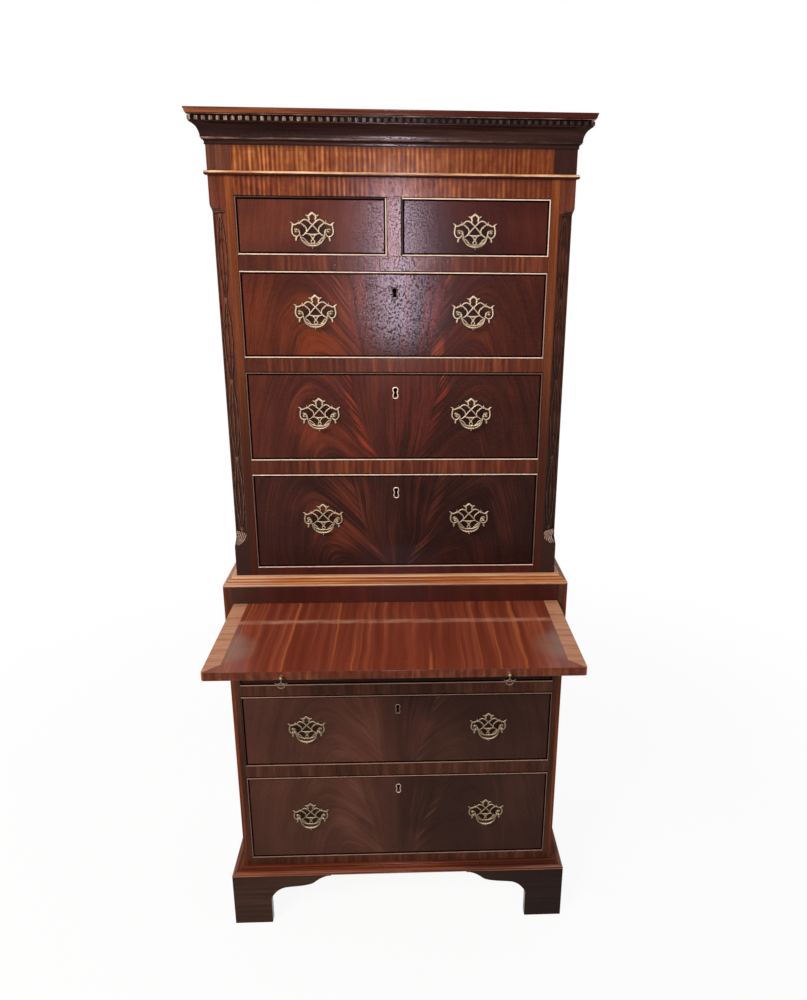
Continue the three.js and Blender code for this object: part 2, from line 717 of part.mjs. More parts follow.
// A keyhole, seen from the front with the middle of its round head at zero.
function keyholeShape() {
  const shape = new THREE.Shape();
  const foot = keyholeFoot - keyholeLength;
  shape.moveTo(-keyholeWaist, -keyholeRound);
  shape.lineTo(-keyholeFoot, foot);
  shape.lineTo(keyholeFoot, foot);
  shape.lineTo(keyholeWaist, -keyholeRound);
  shape.lineTo(keyholeRound, -keyholeWaist);
  shape.lineTo(keyholeRound, keyholeWaist);
  shape.lineTo(keyholeWaist, keyholeRound);
  shape.lineTo(-keyholeWaist, keyholeRound);
  shape.lineTo(-keyholeRound, keyholeWaist);
  shape.lineTo(-keyholeRound, -keyholeWaist);
  shape.closePath();
  return shape;
}

// A drawer front in the frame of its opening: x from the middle, y back from the case front and z
// up from the rail below. A cockbead stands proud round the edge.
function makeDrawerFront(drawer) {
  const half = drawer.width / 2 - drawerSideClearance;
  const low = seatGap;
  const high = drawer.height - drawerTopClearance;
  const inner = half - beadWidth;
  const board = block([-half, half], [-beadProud, frontThickness], [low, high]);
  const field = block([-inner, inner], [-beadProud - overrun, 0], [low + beadWidth, high - beadWidth]);
  let front = board.subtract(field);
  const hole = shankHalf + shankClearance;
  const through = [-overrun, frontThickness + overrun];
  for (const handle of drawer.handles) {
    for (const side of [-1, 1]) {
      const x = handle.x + side * pommelSpacing / 2;
      front = front.subtract(block([x - hole, x + hole], through, [handle.z - hole, handle.z + hole]));
    }
  }
  if (drawer.keyhole) {
    const keyhole = standing(keyholeShape(), -overrun, frontThickness + 2 * overrun);
    front = front.subtract(keyhole.translate([0, 0, drawer.keyhole]));
  }
  return front;
}

// The box behind a drawer front: two sides, a back and a bottom held above the edges of the sides.
function makeDrawerBox(drawer) {
  const half = drawer.width / 2 - drawerSideClearance;
  const start = frontThickness + seatGap;
  const end = drawer.depth - drawerBackSpace;
  const high = drawer.height - drawerSideDrop;
  const inner = half - drawerSideThickness;
  const floor = seatGap + drawerBottomRise + drawerBottomThickness;
  const cavity = block(
    [-inner, inner], [start - overrun, end - drawerSideThickness], [floor, high + overrun]);
  const underside = block([-inner, inner], [start - overrun, end + overrun], [0, seatGap + drawerBottomRise]);
  return block([-half, half], [start, end], [seatGap, high]).subtract(cavity).subtract(underside);
}

// The board of the brushing slide with its two pull posts. Each post ends in a ball with a fork.
function makeSlide() {
  const half = lowerOpening - slideSideClearance;
  const low = slideFloor + seatGap;
  const parts = [block([-half, half], [slideFront, slideFront + slideDepth], [low, low + slideThickness])];
  for (const side of [-1, 1]) {
    const x = side * slidePullSpread;
    const y = slideFront - slideBallReach;
    const ball = new THREE.SphereGeometry(slideBallRadius, roundSides, curveSteps + 1);
    ball.translate(x, y, slideMiddle);
    const neck = barAlongY(slideNeckRadius, [y, slideFront + overrun], x, slideMiddle);
    const fork = block(
      [x - slideForkWidth / 2, x + slideForkWidth / 2],
      [y - slideBallRadius - overrun, y + slideTongueRadius + seatGap],
      [slideMiddle - slideBallRadius - overrun, slideMiddle + slideTongueRadius + seatGap]);
    const grip = slideForkWidth / 2 + overrun / 2;
    const pin = barAlongX(slidePinRadius, [x - grip, x + grip], y, slideMiddle);
    parts.push(solidOf(ball).add(neck).subtract(fork).add(pin));
  }
  return join(parts);
}

// The small drop of a slide pull, with the pin at zero: a tongue, two upturned wings and a crescent.
function makeSlideDrop() {
  const eye = slidePinRadius + seatGap;
  const tongueRound = new THREE.CylinderGeometry(
    slideTongueRadius, slideTongueRadius, slideTongueThickness, roundSides);
  tongueRound.rotateZ(Math.PI / 2);
  const stemHalf = slideTongueThickness / 2;
  const wingLevel = -slideDropLength / 2;
  const wing = slideDropWidth / 2;
  const strand = slideDropStrand;
  const bottom = -slideDropLength;
  const shape = closedShape([
    [stemHalf, -slideTongueRadius],
    [strand, wingLevel / 2 - strand],
    [wing / 2, wingLevel - strand],
    [wing - strand, wingLevel - strand / 2],
    [wing, wingLevel],
    [wing - strand / 2, wingLevel - 2 * strand],
    [wing * 2 / 3, wingLevel - 2 * strand],
    [wing / 2, bottom + strand],
    [0, bottom],
    [-wing / 2, bottom + strand],
    [-wing * 2 / 3, wingLevel - 2 * strand],
    [-wing + strand / 2, wingLevel - 2 * strand],
    [-wing, wingLevel],
    [-wing + strand, wingLevel - strand / 2],
    [-wing / 2, wingLevel - strand],
    [-strand, wingLevel / 2 - strand],
    [-stemHalf, -slideTongueRadius],
  ]);
  const opening = closedShape([
    [0, wingLevel - strand],
    [wing / 2, wingLevel - 2 * strand],
    [wing / 3, bottom + 2 * strand],
    [0, bottom + strand],
    [-wing / 3, bottom + 2 * strand],
    [-wing / 2, wingLevel - 2 * strand],
  ]);
  const drop = piercedSlab(shape, [opening], slideDropThickness).translate([0, 0, -slideDropThickness / 2]);
  const stemLow = wingLevel / 2;
  const stem = block([-stemHalf, stemHalf], [stemLow, 0], [-slideDropThickness / 2, slideDropThickness / 2]);
  const hole = barAlongX(eye / Math.cos(Math.PI / roundSides), [-overrun, overrun], 0, 0);
  return join([drop, stem, solidOf(tongueRound)]).subtract(hole);
}

const chest = new THREE.Group();

function addMesh(parent, name, geometry, material) {
  const mesh = new THREE.Mesh(geometry, material);
  mesh.name = name;
  parent.add(mesh);
  return mesh;
}

addMesh(chest, 'cornice', geometryOf(makeCornice()), mahogany);
addMesh(chest, 'upper_carcase', geometryOf(makeUpperCarcase()), bandedVeneer);
const upperBack = makeBackBoards(upperHalf - boardThickness, lowerTop, caseTop);
addMesh(chest, 'upper_back_boards', geometryOf(upperBack), oak);
addMesh(chest, 'waist_moulding', geometryOf(makeWaistMoulding()), bandedVeneer);
addMesh(chest, 'lower_carcase', geometryOf(makeLowerCarcase()), mahogany);
const lowerBack = makeBackBoards(lowerOpening, footHeight, lowerTop);
addMesh(chest, 'lower_back_boards', geometryOf(lowerBack), oak);
addMesh(chest, 'base_moulding', geometryOf(makeBaseMoulding()), mahogany);

const sides = [{ name: 'left', sign: -1 }, { name: 'right', sign: 1 }];
const fret = makeFret();
const fretGeometry = geometryOf(fret.solid);
for (const { name, sign } of sides) {
  addMesh(chest, `foot_front_${name}`, geometryOf(makeFrontFoot(sign)), mahogany);
  addMesh(chest, `foot_back_${name}`, geometryOf(makeBackFoot(sign)), mahogany);
  const strip = addMesh(chest, `fret_corner_${name}`, fretGeometry, mahogany);
  const slope = Math.hypot(cantWidth, cantDepth);
  const turn = sign * Math.atan2(cantDepth, cantWidth);
  const outwardX = sign * cantDepth / slope;
  const outwardY = -cantWidth / slope;
  strip.rotation.set(Math.PI / 2, 0, turn, 'ZYX');
  strip.position.set(
    sign * (upperHalf - cantWidth / 2) - outwardX * fretThickness,
    upperFront + cantDepth / 2 - outwardY * fretThickness,
    fret.low,
  );
}

// The drawers, from the top down.
const upperReach = boardBack - upperFront;
const lowerReach = boardBack - lowerFront;
const shortWidth = upperOpening - muntinWidth / 2;
const drawers = sides.map(({ name, sign }) => ({
  name: `short_drawer_${name}`,
  width: shortWidth,
  height: upperDrawerHeights.short,
  depth: upperReach,
  place: [sign * (muntinWidth + shortWidth) / 2, upperFront, shortDrawer],
  handles: [{
    name: '',
    x: sign * (handleSpreadUpper - (muntinWidth + shortWidth) / 2),
    z: upperDrawerHeights.short / 2 - shortHandleDrop,
  }],
  keyhole: 0,
}));
const longDrawers = [
  { height: upperDrawerHeights.top, low: upperDrawer1, upper: true },
  { height: upperDrawerHeights.middle, low: upperDrawer2, upper: true },
  { height: upperDrawerHeights.bottom, low: upperDrawer3, upper: true },
  { height: lowerDrawerHeights.top, low: lowerDrawer1, upper: false },
  { height: lowerDrawerHeights.middle, low: lowerDrawer2, upper: false },
  { height: lowerDrawerHeights.bottom, low: lowerDrawer3, upper: false },
];
longDrawers.forEach(({ height, low, upper }, i) => {
  const spread = upper ? handleSpreadUpper : handleSpreadLower;
  const drop = upper ? keyholeDropUpper : keyholeDropLower;
  drawers.push({
    name: `long_drawer_${i + 1}`,
    width: 2 * (upper ? upperOpening : lowerOpening),
    height,
    depth: upper ? upperReach : lowerReach,
    place: [0, upper ? upperFront : lowerFront, low],
    handles: sides.map(({ name, sign }) => ({
      name: `_${name}`,
      x: sign * spread,
      z: height / 2 + longHandleRise,
    })),
    keyhole: height - drop + keyholeLength / 2 - keyholeRound,
  });
});

const plateGeometry = geometryOf(makeHandlePlate());
const bailGeometry = geometryOf(makeBail());
for (const drawer of drawers) {
  const group = new THREE.Group();
  group.position.set(...drawer.place);
  chest.add(group);
  addMesh(group, `${drawer.name}_front`, geometryOf(makeDrawerFront(drawer)), flameVeneer);
  addMesh(group, `${drawer.name}_box`, geometryOf(makeDrawerBox(drawer)), oak);
  for (const handle of drawer.handles) {
    const plate = addMesh(group, `${drawer.name}_plate${handle.name}`, plateGeometry, brass);
    plate.rotation.x = Math.PI / 2;
    plate.position.set(handle.x, 0, handle.z);
    const bail = addMesh(group, `${drawer.name}_bail${handle.name}`, bailGeometry, brass);
    bail.rotation.x = Math.PI / 2;
    bail.position.set(handle.x, -pommelReach, handle.z);
  }
}

addMesh(chest, 'brushing_slide', geometryOf(makeSlide()), mahogany);
const dropGeometry = geometryOf(makeSlideDrop());
for (const { name, sign } of sides) {
  const drop = addMesh(chest, `slide_bail_${name}`, dropGeometry, brass);
  drop.rotation.x = Math.PI / 2;
  drop.position.set(sign * slidePullSpread, slideFront - slideBallReach, slideMiddle);
}

const outline = new THREE.Box3().setFromObject(chest, true);
chest.position.y = -(outline.min.y + outline.max.y) / 2;

export default chest;
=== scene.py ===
# A mahogany chest on chest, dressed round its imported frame: two short and three long drawers over three
# long drawers, with a brushing slide, fretted corners, pierced brass handles and bracket feet.
# Sizes in the dictionaries are millimetres in the chest's own frame: x to the right, y back from the
# front of the upper case, z up from the floor.
import math

import bpy
import numpy as np
from mathutils import Matrix, Vector
from mathutils.geometry import tessellate_polygon


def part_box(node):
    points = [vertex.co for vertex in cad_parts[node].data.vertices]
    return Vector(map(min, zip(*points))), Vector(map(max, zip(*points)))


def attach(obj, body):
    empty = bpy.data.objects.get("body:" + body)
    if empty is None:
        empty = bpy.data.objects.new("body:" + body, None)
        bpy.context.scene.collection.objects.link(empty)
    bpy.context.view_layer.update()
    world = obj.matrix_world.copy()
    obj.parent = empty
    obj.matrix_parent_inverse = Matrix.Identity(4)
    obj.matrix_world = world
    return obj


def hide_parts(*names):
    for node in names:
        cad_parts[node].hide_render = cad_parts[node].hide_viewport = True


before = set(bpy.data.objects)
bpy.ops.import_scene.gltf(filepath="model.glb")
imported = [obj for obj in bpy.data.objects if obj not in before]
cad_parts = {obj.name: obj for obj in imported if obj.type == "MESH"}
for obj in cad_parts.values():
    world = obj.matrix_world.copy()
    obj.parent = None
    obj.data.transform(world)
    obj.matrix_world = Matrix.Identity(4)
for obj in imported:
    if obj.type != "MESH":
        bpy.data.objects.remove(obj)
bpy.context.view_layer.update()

mm = 0.001
caseDepth = 430.0
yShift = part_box("upper_back_boards")[1].y / mm - caseDepth  # where the upper case's front lies in the frame


# ---- shapes

seedStride = np.array([137.0, 71.0, 53.0])  # how far one seed moves a solid's place in the grain


def solidFrom(points, quads, tris, grain="z", seed=0.0, skin=0, soft=True):
    # The sum of the triangles' triple products is six times the volume: where it is negative every face
    # is turned round. The grain place is the points with their axes in the order along, across, through.
    corners = np.concatenate([quads[:, :3], quads[:, [0, 2, 3]], tris])
    a, b, c = points[corners[:, 0]], points[corners[:, 1]], points[corners[:, 2]]
    if np.einsum("ij,ij->", np.cross(a, b), c) < 0:
        quads, tris = quads[:, ::-1], tris[:, ::-1]
    if isinstance(grain, str):
        grain = points[:, {"x": [0, 2, 1], "y": [1, 0, 2], "z": [2, 0, 1]}[grain]]
    return {"points": points, "quads": quads, "tris": tris, "place": grain + seed * seedStride, "skin": skin,
            "soft": soft}


def onAxis(axis, far, p, q):  # points from a place along an axis and the two places across it
    parts = [p, q]
    parts.insert("xyz".index(axis), far)
    return np.stack(np.broadcast_arrays(*parts), axis=-1)


def gridQuads(stations, around):
    # The point at row i and column j is joined to its neighbours at j + 1 and i + 1, and each row closes.
    row, column = np.meshgrid(np.arange(stations - 1), np.arange(around), indexing="ij")
    a = (row * around + column).ravel()
    b = (row * around + (column + 1) % around).ravel()
    return np.stack([a, b, b + around, a + around], axis=1)


def ringSkin(rings, grain, **rest):
    # Rings joined one to the next, with a point at the middle of the first and last ring as end caps.
    stations, around = rings.shape[:2]
    points = np.concatenate([rings.reshape(-1, 3), rings[[0, -1]].mean(axis=1)])
    if not isinstance(grain, str):
        grain = np.concatenate([grain.reshape(-1, 3), grain[0, :1], grain[-1, -1:]])
    turn = np.arange(around)
    onward = (turn + 1) % around
    last = (stations - 1) * around
    pole = np.full(around, stations * around)
    tris = np.concatenate([np.stack([onward, turn, pole], axis=1),
                           np.stack([last + turn, last + onward, pole + 1], axis=1)])
    return solidFrom(points, gridQuads(stations, around), tris, grain, **rest)


def closedRing(rings, grain, **rest):
    # Rings round a closed path: the last is joined to the first, so there are no caps.
    stations, around = rings.shape[:2]
    quads = gridQuads(stations + 1, around) % (stations * around)
    return solidFrom(rings.reshape(-1, 3), quads, np.zeros((0, 3), int), grain.reshape(-1, 3), **rest)


def flatCap(loops):
    # The triangles between flat loops, running the same way round as the first of them.
    flat = [np.column_stack([loop, np.zeros(len(loop))]) for loop in loops]
    cap = np.array(tessellate_polygon([loop.tolist() for loop in flat]))
    p = np.concatenate(flat)[cap]
    area = np.sum(np.cross(p[:, 1] - p[:, 0], p[:, 2] - p[:, 0])[:, 2])
    x, y = loops[0].T
    return cap if area * np.sum(x * np.roll(y, -1) - y * np.roll(x, -1)) > 0 else cap[:, ::-1]


def cappedSkin(rings, outline, **rest):
    # Rings joined one to the next, with the flat outline's own triangles as end caps.
    stations, around = rings.shape[:2]
    cap = flatCap([outline])
    tris = np.concatenate([cap[:, ::-1], cap + (stations - 1) * around])
    return solidFrom(rings.reshape(-1, 3), gridQuads(stations, around), tris, **rest)


def roundedRectangle(halfA, halfB, radius, steps=3):
    # Four quarter circles, each about its own corner's centre.
    turn = np.concatenate([np.linspace(0, math.pi / 2, steps) + k * math.pi / 2 for k in range(4)])
    sideA = np.repeat([1, -1, -1, 1], steps) * (halfA - radius)
    sideB = np.repeat([1, 1, -1, -1], steps) * (halfB - radius)
    return np.column_stack([sideA + radius * np.cos(turn), sideB + radius * np.sin(turn)])


def board(low, high, grain="x", edge=0.8, seed=0.0, skin=0, steps=3):
    # A rounded rectangle carried along the grain. Near each end it shrinks by edge (1 - cos t) at a
    # distance edge (1 - sin t) from the end, which rounds the end's arrises as well.
    low, high = np.array(low, float), np.array(high, float)
    run = "xyz".index(grain)
    p, q = [k for k in range(3) if k != run]
    edge = min(edge, (high - low).min() * 0.45)
    t = np.linspace(math.pi / 2, 0, steps)
    away, shrink = edge * (1 - np.sin(t)), edge * (1 - np.cos(t))
    along = np.concatenate([low[run] + away, high[run] - away[::-1]])[:, None]
    shrink = np.concatenate([shrink, shrink[::-1]])[:, None]
    half, middle = (high - low) / 2, (low + high) / 2
    shareP, shareQ = (roundedRectangle(half[p], half[q], edge, steps) / (half[p], half[q])).T
    rings = onAxis(grain, along, middle[p] + shareP * (half[p] - shrink), middle[q] + shareQ * (half[q] - shrink))
    return ringSkin(rings, grain, seed=seed, skin=skin, soft=False)


def smoothPath(knots, count, closed=False):
    # A Catmull-Rom curve through the knots: at share u between two of them it blends four neighbours by
    # the cubic 0.5 (2 b + (c - a) u + (2 a - 5 b + 4 c - d) u^2 + (3 b - a - 3 c + d) u^3).
    knots = np.array(knots, float)
    if closed:
        padded = np.concatenate([knots[-1:], knots, knots[:2]])
        spans = len(knots)
    else:
        padded = np.concatenate([2 * knots[:1] - knots[1:2], knots, 2 * knots[-1:] - knots[-2:-1]])
        spans = len(knots) - 1
    s = np.linspace(0, spans, count, endpoint=not closed)
    k = np.minimum(s.astype(int), spans - 1)
    u = (s - k)[:, None]
    a, b, c, d = padded[k], padded[k + 1], padded[k + 2], padded[k + 3]
    return 0.5 * (2 * b + (c - a) * u + (2 * a - 5 * b + 4 * c - d) * u**2 + (3 * b - a - 3 * c + d) * u**3)


def tangents(path, closed=False):
    step = np.roll(path, -1, axis=0) - np.roll(path, 1, axis=0) if closed else np.gradient(path, axis=0)
    return step / np.linalg.norm(step, axis=1, keepdims=True)


def strand(knots, widths, height, base=0.0, count=None, sides=10, square=0.75, closed=False, skin=0):
    # A flat strand in the plane x, z that stands out towards -y: its section is the superellipse
    # (w/2 |cos t|^square, h/2 (1 + |sin t|^square)), and its ends close like half a circle.
    count = count or max(8, 4 * (len(knots) - 1) + 1)
    path = smoothPath(knots, count, closed)
    changing = np.size(widths) > 1
    width = smoothPath(np.reshape(widths, (-1, 1)), count)[:, 0] if changing else np.full(count, float(widths))
    forward = tangents(path, closed)
    scale = np.ones(count)
    if not closed:
        swing = np.radians([84, 58, 28])
        head = path[0] - forward[0] * (width[0] / 2 * np.sin(swing))[:, None]
        tail = path[-1] + forward[-1] * (width[-1] / 2 * np.sin(swing[::-1]))[:, None]
        path = np.concatenate([head, path, tail])
        forward = np.pad(forward, ((3, 3), (0, 0)), "edge")
        width = np.pad(width, 3, "edge")
        scale = np.concatenate([np.cos(swing), scale, np.cos(swing[::-1])])
    across = np.column_stack([forward[:, 1], -forward[:, 0]])
    t = np.linspace(0, 2 * math.pi, sides, endpoint=False)
    c, s = (np.sign(wave) * np.abs(wave) ** square for wave in (np.cos(t), np.sin(t)))
    side = (width * scale / 2)[:, None] * c
    rise = base + height / 2 * (1 + scale[:, None] * s)
    rings = np.stack([path[:, :1] + side * across[:, :1], -rise, path[:, 1:] + side * across[:, 1:]], axis=-1)
    travel = np.cumsum(np.linalg.norm(np.diff(path, axis=0, prepend=path[:1]), axis=1))
    return (closedRing if closed else ringSkin)(rings, onAxis("x", travel[:, None], side, rise), skin=skin)


brassRise = 1.5  # how high the round brass counts as standing, in the place its finish reads


def rod(path, radii, sides=14):
    # A round bar along a path in the plane x, z: circles of the given radii, square to the path.
    path = np.array(path, float)
    radii = np.broadcast_to(radii, len(path))[:, None]
    forward = tangents(path)
    out = np.cross(forward, (0.0, 1.0, 0.0))
    out /= np.linalg.norm(out, axis=1, keepdims=True)
    back = np.cross(out, forward)
    t = np.linspace(0, 2 * math.pi, sides, endpoint=False)
    rings = (path[:, None] + (radii * np.cos(t))[..., None] * out[:, None]
             + (radii * np.sin(t))[..., None] * back[:, None])
    travel = np.arange(len(path), dtype=float)[:, None]
    return ringSkin(rings, onAxis("x", travel, 0 * t, brassRise))


def turned(profile, centre=(0, 0, 0), axis="y", sides=20):
    # A profile of (radius, distance) pairs turned about an axis through the centre.
    radius, far = np.array(profile, float).T[:, :, None]
    t = np.linspace(0, 2 * math.pi, sides, endpoint=False)
    rings = onAxis(axis, far, radius * np.cos(t), radius * np.sin(t)) + np.array(centre, float)
    return ringSkin(rings, onAxis("x", far, radius + 0 * t, brassRise))


def moved(solid, by=(0, 0, 0), mirror=False):
    # The same solid shifted, or first mirrored across x = 0 with its faces turned back.
    points = solid["points"] * ((-1, 1, 1) if mirror else (1, 1, 1)) + np.array(by, float)
    way = -1 if mirror else 1
    return {**solid, "points": points, "quads": solid["quads"][:, ::way], "tris": solid["tris"][:, ::way]}


def bothSides(solids):
    return solids + [moved(solid, mirror=True) for solid in solids]


def repeated(solid, places, seedStep=0.0):
    # One solid copied to many places at once.
    count, size = len(places), len(solid["points"])
    shift = np.arange(count)[:, None, None] * size
    seeds = (np.arange(count) * seedStep)[:, None, None] * seedStride
    return {**solid, "points": (solid["points"] + places[:, None]).reshape(-1, 3),
            "quads": (solid["quads"] + shift).reshape(-1, 4), "tris": (solid["tris"] + shift).reshape(-1, 3),
            "place": (solid["place"] + seeds).reshape(-1, 3)}


def mitredRuns(profile, halfWidth, front, back, seed=0.0, skin=0):
    # A profile (out from the case, height) carried along the front and back along both sides. Where two
    # runs meet, each point stands as far forward as it stands out to the side, which makes the mitre.
    profile = np.array(profile, float)
    out, up = profile.T
    rear, corner = (onAxis("x", halfWidth + out, y, up) for y in (back, front - out))
    otherRear, other = rear * (-1, 1, 1), corner * (-1, 1, 1)
    runs = ((corner, rear, "y"), (other, corner, "x"), (otherRear, other, "y"))
    return [cappedSkin(np.stack([a, b]), profile, grain=grain, seed=seed + k, skin=skin)
            for k, (a, b, grain) in enumerate(runs)]


def insetLoop(loop, by):
    # Each corner moves to the left of the path by the given amount, along the mean of its two sides' normals.
    before, after = loop - np.roll(loop, 1, axis=0), np.roll(loop, -1, axis=0) - loop
    before /= np.linalg.norm(before, axis=1, keepdims=True) + 1e-9
    after /= np.linalg.norm(after, axis=1, keepdims=True) + 1e-9
    normal = np.column_stack([-(before + after)[:, 1], (before + after)[:, 0]])
    normal /= np.linalg.norm(normal, axis=1, keepdims=True) + 1e-9
    square = np.abs(normal[:, 1] * before[:, 0] - normal[:, 0] * before[:, 1])
    return loop + normal * (by * np.clip(1 / np.maximum(square, 0.5), 1, 2))[:, None]


def slab(outline, start, thick, axis="y", edge=0.6, grain="x", seed=0.0, skin=0):
    # A flat outline made thick along an axis, with its arrises eased by a 45 degree inset.
    outline = np.array(outline, float)
    x, y = outline.T
    outline = outline if np.sum(x * np.roll(y, -1) - y * np.roll(x, -1)) > 0 else outline[::-1]
    inner = insetLoop(outline, edge)
    far = start + np.array([0.0, edge, thick - edge, thick])
    loops = np.stack([inner, outline, outline, inner])
    rings = onAxis(axis, far[:, None], loops[:, :, 0], loops[:, :, 1])
    return cappedSkin(rings, inner, grain=grain, seed=seed, skin=skin, soft=False)


pieceCount = 0


def makePiece(name, solids, finishes, body="case", standsFor=(), smooth=32):
    # Joins the solids into one mesh in metres, with the grain's place as an attribute.
    global pieceCount
    starts = np.cumsum([0] + [len(s["points"]) for s in solids[:-1]])
    points, place = (np.concatenate([s[word] for s in solids]) for word in ("points", "place"))
    quads, tris = (np.concatenate([s[word] + k for s, k in zip(solids, starts)]) for word in ("quads", "tris"))
    skins, soft = (np.concatenate([np.resize(s[word], len(s[faces])) for faces in ("quads", "tris") for s in solids])
                   for word in ("skin", "soft"))
    mesh = bpy.data.meshes.new(name)
    mesh.vertices.add(len(points))
    mesh.vertices.foreach_set("co", ((points + (0, yShift, 0)) * mm).ravel())
    mesh.loops.add(quads.size + tris.size)
    mesh.loops.foreach_set("vertex_index", np.concatenate([quads.ravel(), tris.ravel()]))
    mesh.polygons.add(len(quads) + len(tris))
    mesh.polygons.foreach_set("loop_start", np.concatenate(
        [np.arange(len(quads)) * 4, quads.size + np.arange(len(tris)) * 3]))
    for finish in finishes if isinstance(finishes, list) else [finishes]:
        mesh.materials.append(finish.material)
    mesh.polygons.foreach_set("material_index", skins)
    mesh.attributes.new("grainPlace", "FLOAT_VECTOR", "POINT").data.foreach_set("vector", (place * mm).ravel())
    mesh.update(calc_edges=True)
    mesh.validate()
    mesh.set_sharp_from_angle(angle=math.radians(smooth))
    mesh.polygons.foreach_set("use_smooth", soft)
    piece = bpy.data.objects.new(name, mesh)
    bpy.context.scene.collection.objects.link(piece)
    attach(piece, body)
    if standsFor:
        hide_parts(*standsFor)
    pieceCount += 1


# ---- finishes

def tint(red, green, blue):  # a colour as a screen shows it, made linear
    shown = np.array([red, green, blue]) / 255
    linear = np.where(shown <= 0.04045, shown / 12.92, ((shown + 0.055) / 1.055) ** 2.4)
    return (*linear.tolist(), 1.0)


class Wire:
    # One socket of a material, so that its sums can be written as plain expressions.
    def __init__(self, finish, socket):
        self.finish, self.socket = finish, socket

    def maths(self, operation, *values):
        return self.finish.node("ShaderNodeMath", {"operation": operation}, list(values))

    def __add__(self, other):
        return self.maths("ADD", self, other)

    def __sub__(self, other):
        return self.maths("SUBTRACT", self, other)

    def __rsub__(self, other):
        return self.maths("SUBTRACT", other, self)

    def __mul__(self, other):
        return self.maths("MULTIPLY", self, other)

    def __truediv__(self, other):
        return self.maths("DIVIDE", self, other)

    def __rtruediv__(self, other):
        return self.maths("DIVIDE", other, self)

    def __pow__(self, other):
        return self.maths("POWER", self, other)

    def __abs__(self):
        return self.maths("ABSOLUTE", self)

    __radd__ = __add__
    __rmul__ = __mul__

    def step(self, low, high, first=0.0, last=1.0):  # a smooth rise from first to last between low and high
        return self.finish.node("ShaderNodeMapRange", {"interpolation_type": "SMOOTHSTEP"},
                                [self, low, high, first, last])

    def clip(self, low=0.0, high=1.0):
        return self.finish.node("ShaderNodeClamp", {}, [self, low, high])


class Finish:
    # One material. Its node method adds any node: its kind, its settings, then the values or wires of its sockets.
    def __init__(self, name, **constants):
        self.material = bpy.data.materials.new(name)
        self.material.use_nodes = True
        self.tree = self.material.node_tree
        self.shader = self.tree.nodes["Principled BSDF"]
        for socket, value in constants.items():
            self.shader.inputs[socket].default_value = value

    def node(self, kind, settings=None, values=(), output=0):
        made = self.tree.nodes.new(kind)
        for key, value in (settings or {}).items():
            if key == "stops":
                ramp = made.color_ramp
                while len(ramp.elements) < len(value):
                    ramp.elements.new(0.5)
                for element, (position, colour) in zip(ramp.elements, value):
                    element.position, element.color = position, colour
            else:
                setattr(made, key, value)
        for key, value in (values.items() if isinstance(values, dict) else enumerate(values)):
            self.feed(made.inputs[key], value)
        return Wire(self, made.outputs[output])

    def feed(self, socket, value):
        if isinstance(value, Wire):
            self.tree.links.new(value.socket, socket)
        else:
            socket.default_value = value

    def set(self, socket, value):
        self.feed(self.shader.inputs[socket], value)

    def grainPlace(self):
        return self.node("ShaderNodeAttribute", {"attribute_name": "grainPlace"}, output="Vector")

    def objectPlace(self, centre=(0, 0, 0), turn=(0, 0, 0)):
        place = self.node("ShaderNodeTexCoord", output="Object")
        return self.node("ShaderNodeMapping", {"vector_type": "TEXTURE"},
                         {"Vector": place, "Location": centre, "Rotation": turn})

    def parts(self, vector):
        split = self.node("ShaderNodeSeparateXYZ", {}, [vector])
        return [Wire(self, split.socket.node.outputs[k]) for k in range(3)]

    def vector(self, x, y, z):
        return self.node("ShaderNodeCombineXYZ", {}, [x, y, z])

    def noise(self, place, stretch, shift=0.0, detail=2.0, roughness=0.5):
        moved = self.node("ShaderNodeVectorMath", {"operation": "MULTIPLY_ADD"},
                          [place, stretch, (shift, 0.37 * shift, 0.71 * shift)])
        return self.node("ShaderNodeTexNoise", {"noise_dimensions": "3D"},
                         {"Vector": moved, "Scale": 1.0, "Detail": detail, "Roughness": roughness})

    def field(self, x, y, z, *rest):
        return self.noise(self.vector(x, y, z), (1, 1, 1), *rest)

    def mix(self, factor, a, b):
        return self.node("ShaderNodeMix", {"data_type": "RGBA", "blend_type": "MIX", "clamp_factor": True},
                         {0: factor, 6: a, 7: b}, output=2)

    def over(self, colour, factor, tone):  # a flat tone laid over a colour
        return self.mix(factor, colour, tint(*tone))

    def ramp(self, factor, stops):
        return self.node("ShaderNodeValToRGB", {"stops": stops}, {"Fac": factor})

    def bump(self, height, strength, distance):
        self.set("Normal", self.node("ShaderNodeBump", {}, {"Strength": strength, "Distance": distance,
                                                            "Height": height}))


# Streaks are noises: how fine they are along the grain, how fine across it, and their weight.
plainStreaks = [(3.0, 70, 0.6), (7.0, 300, 0.4)]
bandStreaks = [(9, 110, 0.55), (16, 380, 0.1), (50, 60, 0.35)]
railStreaks = [(6, 60, 0.7), (20, 300, 0.3)]


